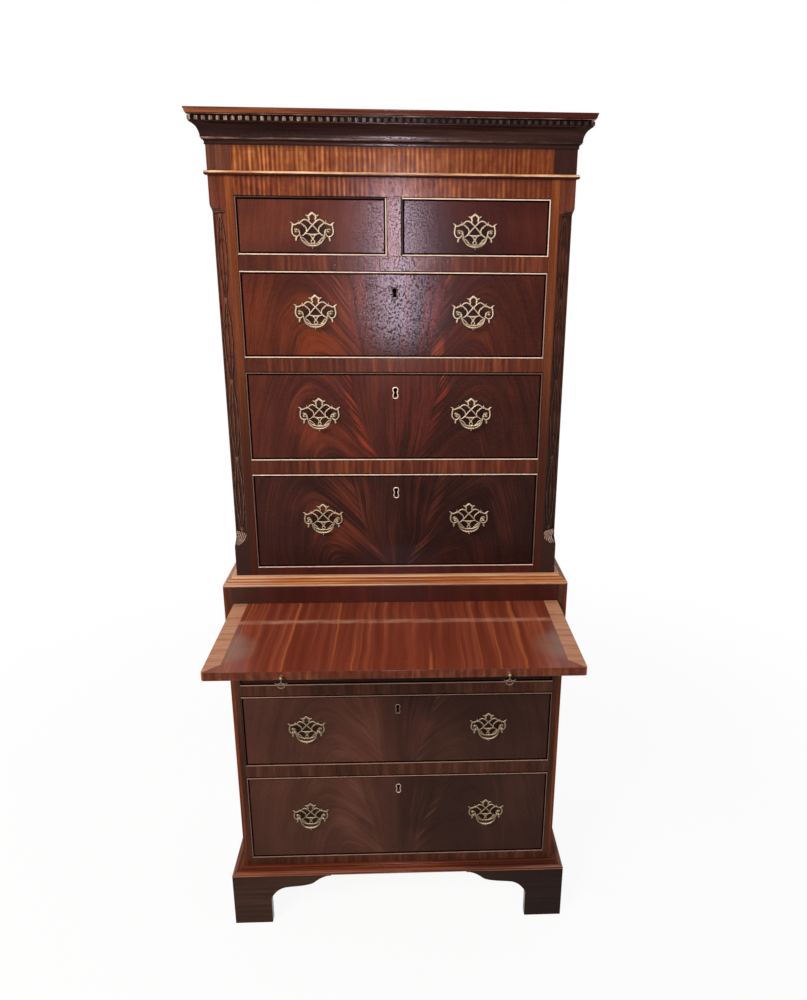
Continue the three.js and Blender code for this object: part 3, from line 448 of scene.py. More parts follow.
def woodFinish(name, tones, shift, streaks=plainStreaks, fade=None, lines=(), ribbon=None, spread=0.2, bumps=0.05,
               poreTone=0.45, poreScale=(60, 1500, 1300), rough=(0.14, 0.2), sheen=0.05):
    # Weighted noises, long along the grain and narrow across it, choose between a dark, a middle and a
    # light tone. Fine dashes along the grain are the open pores, and a slow noise drifts the whole board.
    finish = Finish(name, **{"Specular IOR Level": sheen})
    place = finish.grainPlace()
    total = sum(weight for *_, weight in streaks)
    grain = 0.0
    for k, (along, across, weight) in enumerate(streaks):
        streak = finish.noise(place, (along, across, across * 0.8), shift + 3.1 * k, 3.0, 0.55)
        grain = streak * (weight / total) + grain
    shade = grain + (finish.noise(place, (1.6, 7, 7), shift + 9.0, 1.0) - 0.5) * 0.3
    if ribbon:
        # ribbon figure: regular pale and dark stripes across the band, swaying a little, strong in patches
        width, strength = ribbon
        along, across, third = finish.parts(place)
        sway = finish.noise(place, (5, 22, 22), shift + 21, 2.0) * 9.0
        wave = (across + third) * (2 * math.pi / width) + sway
        patchy = finish.noise(place, (3, 14, 14), shift + 23, 2.0).step(0.35, 0.6, 0.35, 1.0)
        shade = shade + wave.maths("SINE", wave) * patchy * strength
    dark, middle, light = (tint(*tone) for tone in tones)
    colour = finish.ramp(shade, [(0.5 - spread, dark), (0.5, middle), (0.5 + spread, light)])
    pores = finish.noise(place, poreScale, shift + 5.0, 1.0).step(0.58, 0.7)
    colour = finish.mix(pores * poreTone, colour, dark)
    if fade:
        # a tone laid towards one end; where it darkens the right end or the lower part it is painted shade, the light
        # falling off
        axis, pale, fadeEnd, tone, share = fade
        colour = finish.over(colour, finish.parts(finish.objectPlace())[axis].step(pale, fadeEnd, 0.0, share), tone)
    for low, high, tone, share in lines:  # bands by height: painted highlights on arrises, painted shade in quirks, painted shadow under cornice and astragal
        height = finish.parts(finish.objectPlace())[2] * 1000.0
        inside = height.step(low - 0.25, low + 0.25) * height.step(high - 0.25, high + 0.25, 1.0, 0.0)
        unevenness = finish.noise(place, (6, 200, 200), shift + 17, 4.0, 0.65).step(0.36, 0.6, 0.25, 1.0)
        colour = finish.over(colour, inside * unevenness * share, tone)
    finish.set("Base Color", colour)
    dots = finish.noise(place, (290, 310, 310), shift + 15, 2.0, 0.6)
    finish.set("Roughness", dots.step(0.4, 0.47, rough[1] + 0.35, rough[0]))
    speckle = finish.noise(place, (300, 380, 380), shift + 13, 2.0)
    finish.bump(speckle * 0.8 + grain * 0.2 - pores * 0.4, bumps, 0.0006)
    return finish


# Each kind of wood on the chest has its own three tones. A fade names its axis, where it starts and ends
# in metres, its tone and its share.
sideWood = woodFinish("side_mahogany", [(46, 18, 13), (86, 37, 24), (122, 58, 35)], 20.0)
corniceWood = woodFinish("cornice_mahogany", [(28, 13, 10), (46, 25, 21), (70, 42, 34)], 4.0)
# the fascia's fade to the right is painted shade
fasciaWood = woodFinish("fascia_mahogany", [(62, 28, 17), (108, 54, 31), (156, 92, 56)], 6.0,
                        fade=(0, -0.25, 0.2, (64, 22, 14), 0.85))
astragalShadeWood = woodFinish("underside_mahogany", [(34, 13, 8), (62, 26, 16), (92, 42, 26)], 6.5)
# the cornice bead line: pale as a painted highlight, and its fade to the right is painted shade
lineLitWood = woodFinish("worn_line", [(66, 41, 34), (114, 81, 69), (174, 138, 122)], 5.5, [(30, 300, 1.0)],
                      (0, 0.0, 0.3, (44, 26, 22), 0.85))
# the dentils darken to the right: painted shade
dentilWood = woodFinish("dentil_mahogany", [(66, 42, 33), (132, 98, 80), (206, 172, 150)], 8.0, [(60, 300, 1.0)],
                        (0, -0.3, 0.08, (42, 24, 21), 0.93))
shadowWood = woodFinish("shadow_mahogany", [(12, 7, 6), (22, 11, 9), (36, 18, 14)], 9.0)
# the posts darken downwards: painted shade
postWood = woodFinish("post_mahogany", [(66, 30, 19), (102, 50, 33), (134, 72, 48)], 12.0,
                      fade=(2, 1.62, 1.05, (52, 31, 25), 1.0))
# the right frieze block is darker: painted shade
blockWood = woodFinish("block_mahogany", [(62, 33, 23), (94, 52, 37), (120, 68, 48)], 12.5,
                       fade=(0, 0.0, 0.3, (44, 22, 16), 0.88))
# the stiles darken downwards: painted shade
stileWood = woodFinish("stile_mahogany", [(84, 38, 18), (122, 62, 31), (156, 86, 44)], 14.0,
                       fade=(2, 1.7, 1.1, (60, 28, 19), 0.95))
# the frieze darkens to the right, painted shade; its lines are a painted shadow under the cornice
friezeBand = woodFinish("frieze_crossbanding", [(86, 36, 18), (134, 70, 36), (194, 122, 68)], 1.0, bandStreaks,
                        (0, -0.1, 0.36, (92, 32, 9), 0.7), ribbon=(0.0092, 0.12),
                        lines=[(1780.5, 1792, (86, 42, 28), 0.4), (1785.5, 1792, (74, 34, 24), 0.5)])
# the top rail darkens to the right, painted shade; its lines are a painted shadow under the astragal
topBand = woodFinish("top_rail_crossbanding", [(78, 31, 17), (122, 60, 32), (174, 102, 56)], 1.5, bandStreaks,
                     (0, 0.0, 0.3, (90, 36, 18), 0.5), ribbon=(0.0094, 0.11), spread=0.19,
                     lines=[(1727.5, 1738, (86, 40, 28), 0.35), (1731.5, 1738, (70, 32, 24), 0.45)])
railBand = woodFinish("rail_crossbanding", [(60, 27, 18), (90, 42, 27), (134, 70, 42)], 2.0, railStreaks,
                      (0, -0.14, -0.33, (62, 30, 22), 0.6), spread=0.23, ribbon=(0.0125, 0.06))
lowerBand = woodFinish("lower_crossbanding", [(44, 24, 17), (68, 38, 27), (98, 58, 41)], 3.0, railStreaks, spread=0.24)
redBand = woodFinish("slide_rail_veneer", [(58, 25, 20), (69, 29, 22), (84, 36, 27)], 3.5,
                     [(3, 30, 0.7), (6, 200, 0.3)], (0, -0.22, -0.4, (58, 41, 35), 0.85))
astragalLitWood = woodFinish("astragal_mahogany", [(144, 90, 58), (200, 148, 106), (236, 198, 158)], 5.2, [(20, 200, 1.0)])
# the lower stop's reeds are pale as a painted highlight
reedLitWood = woodFinish("reed_mahogany", [(104, 76, 64), (176, 142, 124), (228, 198, 178)], 5.8, [(40, 300, 1.0)])
paleLine = woodFinish("pale_line", [(58, 40, 34), (110, 84, 72), (170, 140, 124)], 5.0, [(20, 200, 1.0)])
edgeWood = woodFinish("edge_mahogany", [(52, 22, 13), (90, 42, 25), (132, 68, 41)], 22.0)
# the feet darken to the right: painted shade
footWood = woodFinish("foot_mahogany", [(38, 24, 18), (57, 37, 28), (78, 52, 40)], 24.0,
                      fade=(0, 0.0, 0.34, (26, 17, 15), 0.7), spread=0.24)
# the right fret is darker: painted shade
fretWood = woodFinish("fret_mahogany", [(52, 29, 22), (84, 52, 41), (122, 84, 68)], 26.0, [(40, 300, 1.0)],
                      (0, 0.0, 0.2, (52, 36, 31), 0.5))
clampWood = woodFinish("clamp_crossbanding", [(138, 88, 62), (188, 130, 98), (218, 162, 128)], 32.0,
                       [(8, 210, 0.6), (20, 480, 0.25), (30, 30, 0.15)], spread=0.26)
slideEdgeWood = woodFinish("slide_edge", [(58, 25, 16), (90, 44, 29), (126, 68, 46)], 33.0, bandStreaks)
# near black with no sheen: painted shade in the quirks beside the beads and behind the keyholes
quirkShadeWood = woodFinish("dirty_quirk", [(9, 3, 2), (14, 5, 4), (22, 9, 7)], 0.0, sheen=0.0)
liningOak = woodFinish("drawer_oak", [(122, 90, 58), (168, 132, 90), (196, 164, 120)], 34.0,
                       [(3.0, 90, 0.5), (8, 420, 0.5)], bumps=0.2, poreTone=0.5, poreScale=(20, 1100, 900),
                       rough=(0.55, 0.75), sheen=0.2)
backPine = woodFinish("back_boards", [(88, 58, 36), (138, 98, 64), (170, 130, 90)], 36.0,
                      [(1.6, 50, 0.5), (5, 260, 0.5)], bumps=0.25, poreTone=0.3, poreScale=(12, 700, 700),
                      rough=(0.6, 0.85), sheen=0.2)


def beadFinish(name, foot, crest):
    # The bead's grain place tells how far each point stands proud: the crest is painted pale as a highlight, the foot
    # dark as painted shade.
    finish = Finish(name, **{"Specular IOR Level": 0.06})
    along, across, proud = finish.parts(finish.grainPlace())
    unevenness = finish.field(along * 60, across * 300, 0.0, 2.0, 3.0, 0.6)
    raisedPale = proud.step(0.0013, 0.00195) * (unevenness * 0.9 + 0.4)
    colour = finish.ramp(raisedPale, [(0.05, tint(*foot)), (0.85, tint(*crest))])
    finish.set("Base Color", colour)
    finish.set("Roughness", unevenness.step(0.3, 0.7, 0.2, 0.36))
    finish.bump(unevenness, 0.15, 0.0004)
    return finish


# lit and shaded copies of one bead finish: a painted highlight on the crest, brighter or dimmer by how the light falls
# on each run
beadLitWood = beadFinish("cockbead", (14, 5, 3), (236, 204, 182))
beadHalfLit = beadFinish("cockbead_dim", (14, 5, 3), (112, 82, 70))
beadShaded = beadFinish("cockbead_dark", (12, 4, 3), (56, 38, 32))
beadRedHalfLit = beadFinish("cockbead_red", (14, 5, 3), (164, 126, 108))


def polish(finish, grain, pores, place, shift):
    # French polish over open pores: a fine speckle breaks up what the surface mirrors.
    dots = finish.noise(place, (310, 310, 310), shift + 15, 2.0, 0.6)
    finish.set("Roughness", dots.step(0.4, 0.47, 0.55, 0.14))
    finish.bump(finish.noise(place, (380, 380, 300), shift + 13, 2.0) * 0.8 + grain * 0.1 - pores * 0.2, 0.05, 0.0006)


def slideFinish():
    # Red-brown boards run from front to back, with a few thin orange streaks. A pale band across them is a
    # painted highlight, the waist moulding's reflection.
    finish = Finish("slide_mahogany", **{"Specular IOR Level": 0.16})
    x, y, z = finish.parts(finish.objectPlace())
    straight = x
    x = x + (finish.field(x * 5, y * 9, z, 28.0, 2.0) - 0.5) * 0.016
    soft = finish.field(x * 60, y * 1.6, z, 30.0, 3.0, 0.6)
    soft = (soft - 0.5) * y.step(-0.32, -0.15, 0.6, 1.0) + 0.5  # the stripes are plainest at the back
    colour = finish.ramp(soft, [(0.32, tint(102, 42, 28)), (0.48, tint(119, 52, 35)), (0.58, tint(136, 63, 43)),
                                (0.72, tint(160, 84, 56))])
    thin = finish.field(x * 120, y * 1.3, z, 36.0, 2.0, 0.4).step(0.615, 0.685)
    colour = finish.over(colour, thin * 0.5, (184, 104, 54))
    patchy = finish.field(x * 22, y * 60, z, 41.0, 3.0, 0.7)
    # painted reflection: the pale band across the slide
    band = abs(y + 0.1665).step(0.002, 0.013, 1.0, 0.0) * patchy.step(0.3, 0.7, 0.1, 0.6)
    colour = finish.over(colour, band, (206, 150, 122))
    # grey patches by the front corners: dull worn polish, and a painted sheen
    corner = (((abs(straight) - 0.322) / 0.06) ** 2.0 + ((y + 0.28) / 0.07) ** 2.0).step(0.1, 1.0, 1.0, 0.0)
    finish.set("Base Color", finish.over(colour, corner * patchy.step(0.2, 0.8, 0.35, 0.7), (134, 104, 86)))
    speckle = finish.noise(finish.vector(x, y, z), (900, 620, 900), 43.0, 2.0, 0.7)
    finish.set("Roughness", speckle.step(0.3, 0.7, 0.16, 0.3))
    finish.bump(speckle * 0.8 + soft * 0.2, 0.2, 0.0005)
    return finish


slideWood = slideFinish()


def plateShade(finish, colour, across, z, lift):
    # painted shade on the veneer behind and around the pierced plate
    up = z - lift * mm
    near = (across * across * 0.5 + up * up * 1.3) ** 0.5
    return finish.over(colour, near.step(0.015, 0.028, 0.8, 0.0), (30, 9, 6))


def shortFinish(name, pull, lift, shift, tones):
    # The short drawers' plain red veneer, with soft slanting streaks and broad cloudy patches.
    finish = Finish(name, **{"Specular IOR Level": 0.045})
    x, y, z = finish.parts(finish.objectPlace())
    place = finish.vector(x, y, z)
    slant = abs(x) + z * 0.14
    cloud = finish.noise(place, (7, 9, 9), shift, 2.0)
    streak = finish.field(slant * 42, z * 5, y, shift + 2, 3.0, 0.6)
    fine = finish.field(slant * 300, z * 14, y, shift + 4, 2.0)
    level = cloud * 0.5 + streak * 0.3 + fine * 0.2
    dark, middle, light = (tint(*tone) for tone in tones)
    colour = finish.ramp(level, [(0.3, dark), (0.5, middle), (0.7, light)])
    pores = finish.noise(place, (1500, 900, 60), shift + 6, 1.0).step(0.56, 0.7)
    finish.set("Base Color", plateShade(finish, finish.mix(pores * 0.3, colour, dark), abs(x) - pull * mm, z, lift))
    polish(finish, level, pores, place, shift)
    return finish


def flameFinish(name, look):
    # Crotch veneer, matched like an open book at x = 0. A spine leans outward from near the middle of
    # the bottom edge. Inside it the streaks fan with |x| / spine. Outside it each streak keeps one value
    # of z + fall sqrt((d - crown)^2 + round^2), where d is the distance beyond the spine: it climbs away
    # from the spine, bends over at the crown and runs down steeply towards the end of the drawer.
    finish = Finish(name, **{"Specular IOR Level": 0.045})
    x, y, z = finish.parts(finish.objectPlace())
    place = finish.vector(x, y, z)
    side = x.maths("SIGN", x)
    shift = look["shift"]
    wobble = finish.field(x * 5, z * 9, 0.0, shift, 2.0) - 0.5
    far = abs(x) + wobble * 0.03
    up = (z - look["low"] * mm) / (look["height"] * mm)
    spine = (up.clip(0.0, 1.0) ** 0.8) * ((look["spine"][1] - look["spine"][0]) * mm) + look["spine"][0] * mm
    beyond = far - spine
    outside = beyond.step(-0.008, 0.012)
    fan = far / (spine + 0.02)
    inner = finish.field(fan * 8, z * 4, side * 0.5, shift, 4.0, 0.55)
    innerFine = finish.field(fan * 36, z * 7, side, shift + 2, 2.0)
    drop = ((beyond - look["crown"] * mm) ** 2.0 + 0.0028) ** 0.5
    arch = z + drop * look["fall"]
    outer = finish.field(arch * 27, beyond * 5, side * 0.5, shift + 5, 4.0, 0.58)
    outerFine = finish.field(arch * 150, beyond * 16, side, shift + 7, 2.0)
    cloud = finish.noise(place, (6, 6, 6), shift + 9, 2.0)
    inLevel = (inner * 0.62 + innerFine * 0.38 - 0.5) * look["bold"] * 0.85 + 0.5
    calm = beyond.step(0.06, 0.2, look["bold"], look["bold"] * 0.6)
    outLevel = (outer * 0.6 + outerFine * 0.4 - 0.5) * calm + 0.5
    level = inLevel + (outLevel - inLevel) * outside + (cloud - 0.5) * 0.4
    left, right = ([(position, tint(*tone)) for position, tone in zip((0.27, 0.5, 0.73), look[word])]
                   for word in ("left", "right"))
    colour = finish.mix(x.step(-0.01, 0.01), finish.ramp(level, left), finish.ramp(level, right))
    # feathered lines of light wood run up along the spine
    feather = outer.step(0.44, 0.58, 0.25, 1.0) * outerFine.step(0.46, 0.6)
    ridge = abs(beyond - 0.005).step(0.0, 0.016, 1.0, 0.0) * feather
    colour = finish.over(colour, ridge * look["ridge"], look["line"])
    for glowX, glowZ, wide, tall, strength, tone in look["glows"]:
        offX, offZ = (x - glowX * mm) / (wide * mm), (z - (look["low"] + glowZ) * mm) / (tall * mm)
        patch = (offX * offX + offZ * offZ).step(0.0, 1.0, 1.0, 0.0) * level.step(0.4, 0.62) * strength
        colour = finish.over(colour, patch, tone)
    pores = finish.noise(place, (1500, 900, 70), shift + 11, 1.0).step(0.56, 0.7)
    colour = finish.over(colour, pores * 0.3, look["right"][0])
    colour = plateShade(finish, colour, abs(x) - look["pull"] * mm, z, look["lift"])
    face = y.step(look["face"] + 0.0008, look["face"] + 0.0012, 1.0, 0.0)
    core = finish.ramp(finish.noise(place, (4, 90, 90), 1.0, 3.0),
                       [(0.35, tint(70, 36, 24)), (0.65, tint(112, 66, 44))])
    finish.set("Base Color", finish.mix(face, core, colour))
    polish(finish, level, pores, place, shift)
    return finish


def brassFinish(name, tone, raisedPale, shift=0.0):
    # Old lacquered brass: worn and bright on the raised middle of each strand, brown where it is low.
    finish = Finish(name, **{"Metallic": 1.0, "Coat Weight": 0.1, "Coat Roughness": 0.2})
    place = finish.grainPlace()
    patches = finish.noise(place, (260, 260, 260), shift, 3.0, 0.6)
    fine = finish.noise(place, (900, 900, 900), shift + 4, 2.0)
    toneChoice = finish.parts(place)[2].step(0.0002, 0.0016) * 0.65 + patches * 0.5 - 0.12
    colour = finish.ramp(toneChoice, [(0.1, tint(58, 42, 26)), (0.42, tint(*tone)), (0.8, tint(*raisedPale))])
    finish.set("Base Color", colour)
    finish.set("Roughness", patches.step(0.3, 0.7, 0.34, 0.55))
    finish.bump(patches * 0.6 + fine * 0.4, 0.35, 0.0004)
    return finish


brass = brassFinish("old_brass", (68, 56, 38), (132, 117, 91))
# the first long drawer's thread is dark brass: painted shade round its keyhole
threadShaded = brassFinish("keyhole_brass_old", (44, 32, 22), (92, 72, 54), 5.0)
threadDim = brassFinish("keyhole_brass_dim", (96, 76, 60), (160, 136, 112), 4.0)
threadBrass = brassFinish("keyhole_brass", (158, 138, 116), (214, 194, 172), 3.0)
print("finishes made")

# ---- the levels and planes that the pieces share

plan = {"upperHalf": 353.8, "upperInner": 335.8, "upperOpening": 307.0, "lowerHalf": 380.3, "lowerOpening": 361.0,
        "plinthHalf": 407.3, "lowerFront": -26.5, "plinthFront": -53.5, "back": 430.0, "boardBack": 419.7}
level = {"foot": 139.5, "drawer6": 175.6, "drawer5": 439.2, "drawer4": 653.4, "slideFloor": 841.0, "slotTop": 858.6,
         "lowerTop": 897.4, "drawer3": 933.2, "drawer2": 1177.2, "drawer1": 1392.4, "short": 1592.5,
         "topRail": 1701.4, "astragal": 1736.8, "frieze": 1744.8, "cornice": 1790.3, "top": 1849.8}
seat = 0.3  # the air between two stacked pieces
upperHalf, backPlane, boardBack = plan["upperHalf"], plan["back"], plan["boardBack"]
upperFoot, lowerFoot = level["lowerTop"] + seat, level["foot"] + seat
pair = ((-1, "left"), (1, "right"))


def acrossBoard(half, front, back, low, high, grain="x", edge=0.4, **rest):  # as far to the left as to the right
    return board((-half, front, low), (half, back, high), grain, edge, **rest)


def curve(start, middle, end, count=6):  # a quadratic curve, without its first point
    u = np.linspace(0, 1, count + 1)[1:, None]
    start, middle, end = (np.array(p, float) for p in (start, middle, end))
    return ((1 - u)**2 * start + 2 * u * (1 - u) * middle + u**2 * end).tolist()


# ---- upper case

post = {"depth": 42.0, "strip": 322.8, "cant": (30.0, 22.0), "low": 980.8, "high": 1685.8, "lowStop": 18.0,
        "bedLow": 1014.0, "highStop": 15.0, "rim": 1.3, "bed": 2.7, "tip": 0.02}


def postBody():
    # The section is a rectangle with its outer corner cut off. Its cut grows from nothing to the whole
    # cant over each stop as 3 u^2 - 2 u^3, and between the stops a bed is sunk between two rims.
    bedLow, bedHigh = post["bedLow"], post["high"] - post["highStop"]
    u = np.linspace(0, 1, 7)
    ease = post["tip"] + (1 - post["tip"]) * (3 * u**2 - 2 * u**3)
    heights = np.concatenate([[upperFoot], post["low"] + u * post["lowStop"],
                              [bedLow, bedLow + 0.3, bedLow + 1.3, bedHigh - 1.5, bedHigh - 0.5, bedHigh - 0.2],
                              bedHigh + u * post["highStop"], [level["astragal"]]])
    cut = np.concatenate([[post["tip"]], ease, np.ones(6), ease[::-1], [post["tip"]]])
    sunk = np.zeros(len(heights))
    sunk[9:13] = post["bed"]
    wide, deep = post["cant"]
    run, inward = np.array([(wide, deep), (-deep, wide)]) / math.hypot(wide, deep)
    front = np.column_stack([upperHalf - wide * cut, cut * 0])
    side = np.column_stack([cut * 0 + upperHalf, deep * cut])
    rim = (post["rim"] * cut)[:, None] * run
    drop = sunk[:, None] * inward
    fixed = [np.broadcast_to(p, front.shape)
             for p in ((upperHalf, post["depth"]), (post["strip"], post["depth"]), (post["strip"], 0.0))]
    loop = np.stack([*fixed, front, front + rim, front + rim + drop, side - rim + drop, side - rim, side], axis=1)
    rings = onAxis("z", heights[:, None], loop[:, :, 0], loop[:, :, 1])
    return cappedSkin(rings, loop[0], grain="z", seed=3.0)


case = {"rail": 60.0, "dustBoard": 8.0, "guide": 20.0, "muntin": 13.6, "block": 45.0, "frieze": 20.0, "backs": 420.2}
inner, muntin = plan["upperInner"], case["muntin"]
makePiece("upper_sides", bothSides([board((inner, post["depth"], upperFoot), (upperHalf, backPlane, level["top"]), "z",
                                          0.6, seed=1.0)]), sideWood, standsFor=["upper_carcase"])
makePiece("upper_posts", bothSides([postBody()]), postWood)
makePiece("stile_strips", bothSides([board((plan["upperOpening"], 0, upperFoot),
                                           (post["strip"], post["depth"], level["astragal"]), "z", 0.35, seed=2.0)]),
          stileWood)


def rail(low, high, half, front, seed, deep=case["rail"], skin=0):
    # A rail across the front, faced with veneer whose grain runs up and down.
    return acrossBoard(half, front, front + deep, low, high, "z", 0.5, seed=seed, skin=skin)


upperRails = [(1563.6, level["short"], 0), (1364.1, level["drawer1"], 0), (1147.7, level["drawer2"], 0),
              (upperFoot, level["drawer3"], 2), (level["topRail"], level["astragal"], 1)]
makePiece("upper_rails", [rail(low, high, plan["upperOpening"] - 0.02, 0.0, 11 + k, skin=skin)
                          for k, (low, high, skin) in enumerate(upperRails)],
          [railBand, topBand, redBand])
makePiece("muntin", [acrossBoard(muntin, 0.1, case["rail"], level["short"], level["topRail"], "z", seed=4.0)], postWood)
blockIn, friezeTop = upperHalf - case["block"], level["cornice"] + 5
makePiece("frieze", [acrossBoard(blockIn, 0, case["frieze"], level["frieze"] - 2, friezeTop, "z", 0.3, seed=5.0)],
          friezeBand)
makePiece("frieze_blocks", bothSides([board((blockIn, 0, level["astragal"]), (upperHalf, 42.5, friezeTop), "z", 0.4,
                                            seed=6.0)]), blockWood)

floors = [level[word] for word in ("drawer3", "drawer2", "drawer1", "short")]
shelves = [acrossBoard(inner, case["rail"], boardBack, high - case["dustBoard"], high, seed=20.0 + high)
           for high in floors]
shelves.append(acrossBoard(inner, case["rail"], boardBack, upperFoot, level["lowerTop"] + 18.3, seed=31.0))
for low in (*floors, level["topRail"]):
    shelves += bothSides([board((plan["upperOpening"], 42, low), (inner, boardBack, low + case["guide"]), "y", 0.4,
                                seed=low)])
shelves += [acrossBoard(muntin, case["rail"], boardBack, low, low + case["guide"], "y", seed=low + 5)
            for low in (level["short"], level["topRail"])]
makePiece("upper_dust_boards", shelves, liningOak)
makePiece("upper_top", [acrossBoard(inner, 20, boardBack, level["top"] - 18, level["top"], "x", 0.5, seed=35.0),
                        acrossBoard(upperHalf, 0, 20, friezeTop, level["top"], "x", 0.3, seed=36.0)], backPine)


def aroundUpper(profile, seed, skin=0):
    return mitredRuns(profile, upperHalf, 0.0, backPlane, seed, skin)


# the astragal is 6 mm deep and 8 mm high: its upper half is painted pale as lit from above, its lower half painted dark
# as in shade
astragal = level["astragal"]
turn = np.linspace(-math.pi / 2, math.pi / 2, 11)
rounds = [(3.0 * abs(math.cos(a)) ** 0.7 + 3.0, astragal + 4 + 4 * math.sin(a)) for a in turn]
middle = [(-2.0, rounds[5][1])]
makePiece("astragal", aroundUpper(middle + rounds[5:] + [(-2.0, astragal + 8.0)], 40.0)
          + aroundUpper([(-2.0, astragal)] + rounds[:6] + middle, 43.0, 1), [astragalLitWood, astragalShadeWood], "case",
          smooth=40)


def backBoards(half, low, high, seed, count=6):
    edges = np.linspace(-half, half, count + 1)
    return [board((a + 0.6, case["backs"], low), (b - 0.6, backPlane, high), "z", 2.2, seed=seed + 7.3 * k)
            for k, (a, b) in enumerate(zip(edges[:-1], edges[1:]))]


makePiece("upper_backs", backBoards(335.5, upperFoot, level["top"], 50.0), backPine, "case",
          ["upper_back_boards"])

# ---- cornice

cornice = {"fascia": 9.5, "dentils": 13.0, "band": 19.0, "tooth": 24.5, "wide": 6.6, "pitch": 13.5,
           "hollow": (22.5, 24.0), "bead": (7.0, 4.5)}
top, bottom = level["top"], level["cornice"]
(hollowOut, hollowHigh), (beadOut, beadHigh) = cornice["hollow"], cornice["bead"]
fasciaLow = top - cornice["fascia"]
dentilLow = fasciaLow - cornice["dentils"]
hollowLow = dentilLow - hollowHigh
beadLow = hollowLow - beadHigh
fascia = [(seat, top), (seat, fasciaLow), (26.6, fasciaLow), (27.4, fasciaLow + 0.6)]
fascia += curve((27.6, fasciaLow + 1.6), (28.2, fasciaLow + 5), (29.2, top - 2.6), 5)
fascia += curve((29.2, top - 2.6), (29.9, top - 1.2), (29.5, top), 4)
fillet = [(seat, fasciaLow - 0.6), (seat, fasciaLow - 1.8), (25.6, fasciaLow - 1.8), (26.0, fasciaLow - 1.2),
          (25.6, fasciaLow - 0.6)]
band = [(seat, fasciaLow + 0.5), (seat, dentilLow), (cornice["band"], dentilLow), (cornice["band"], fasciaLow - 2.0),
        (24.4, fasciaLow - 2.0), (24.4, fasciaLow + 0.5)]
hollow = [(seat, dentilLow + 1.2), (seat, hollowLow - 1), (beadOut + 0.2, hollowLow - 1), (beadOut + 0.2, hollowLow)]
hollow += curve((beadOut + 0.2, hollowLow), (beadOut + 1.4, dentilLow - 7.5), (hollowOut - 1.2, dentilLow - 1.4), 14)
hollow += curve((hollowOut - 1.2, dentilLow - 1.4), (hollowOut, dentilLow - 1.0), (hollowOut, dentilLow), 4)
hollow += [(hollowOut, dentilLow + 1.2)]
middle = beadOut - 1.4
bead = [(seat, hollowLow), (middle, hollowLow)]
bead += [(middle + 1.6 * math.cos(a), hollowLow - 1.5 + 1.5 * math.sin(a))
         for a in np.linspace(math.pi / 2, -math.pi / 2, 7)[1:]]
bead += [(middle, beadLow), (seat, beadLow)]
cove = [(seat, beadLow + 0.6), (seat, bottom + 1.6), (1.4, bottom + 1.2), (1.6, bottom + 2.4)]
cove += curve((1.6, bottom + 2.4), (1.8, beadLow), (beadOut - 1.0, beadLow), 8) + [(beadOut - 1.0, beadLow + 0.6)]
lowest = [(seat, bottom + 1.8), (seat, bottom)] + curve((1.6, bottom), (2.8, bottom + 0.9), (1.6, bottom + 1.8), 5)
makePiece("cornice_fascia", aroundUpper(fascia, 60.0) + aroundUpper(fillet, 61.0, 1), [fasciaWood, paleLine],
          standsFor=["cornice"])
makePiece("cornice_dentil_band", aroundUpper(band, 62.0), shadowWood)
makePiece("cornice_hollow", aroundUpper(hollow, 63.0) + aroundUpper(cove, 64.0), corniceWood, smooth=50)
makePiece("cornice_lines", aroundUpper(bead, 65.0) + aroundUpper(lowest, 66.0, 1), [lineLitWood, corniceWood], smooth=60)

# The dentils fill the front with a whole number of steps, and each side starts from its corner tooth.
tooth = cornice["wide"] / 2
toothLow, toothHigh, toothBack = dentilLow + 1.4, fasciaLow - 4.4, cornice["band"] - 1.5
reach = upperHalf + cornice["tooth"] - tooth
count = round(2 * reach / cornice["pitch"])
places = np.zeros((count + 1, 3))
places[:, 0] = -reach + 2 * reach * np.arange(count + 1) / count
frontTooth = board((-tooth, -cornice["tooth"], toothLow), (tooth, -toothBack, toothHigh), "z", 0.5, steps=2)
dentils = [repeated(frontTooth, places, 0.7)]
start = tooth - cornice["tooth"]
places = np.zeros((int((backPlane - start - tooth) // cornice["pitch"]), 3))
places[:, 1] = start + cornice["pitch"] * np.arange(1, len(places) + 1)
sideTooth = board((upperHalf + toothBack, -tooth, toothLow), (upperHalf + cornice["tooth"], tooth, toothHigh), "z", 0.5,
                  seed=1.0, steps=2)
makePiece("cornice_dentils", dentils + bothSides([repeated(sideTooth, places, 0.7)]), dentilWood)

# ---- frets let into the cants

fret = {"half": 17.2, "low": 1014.4, "high": 1670.2, "repeats": 4, "thick": 2.6, "swing": 11.6, "strand": 2.5,
        "centre": (338.8, 11.0)}


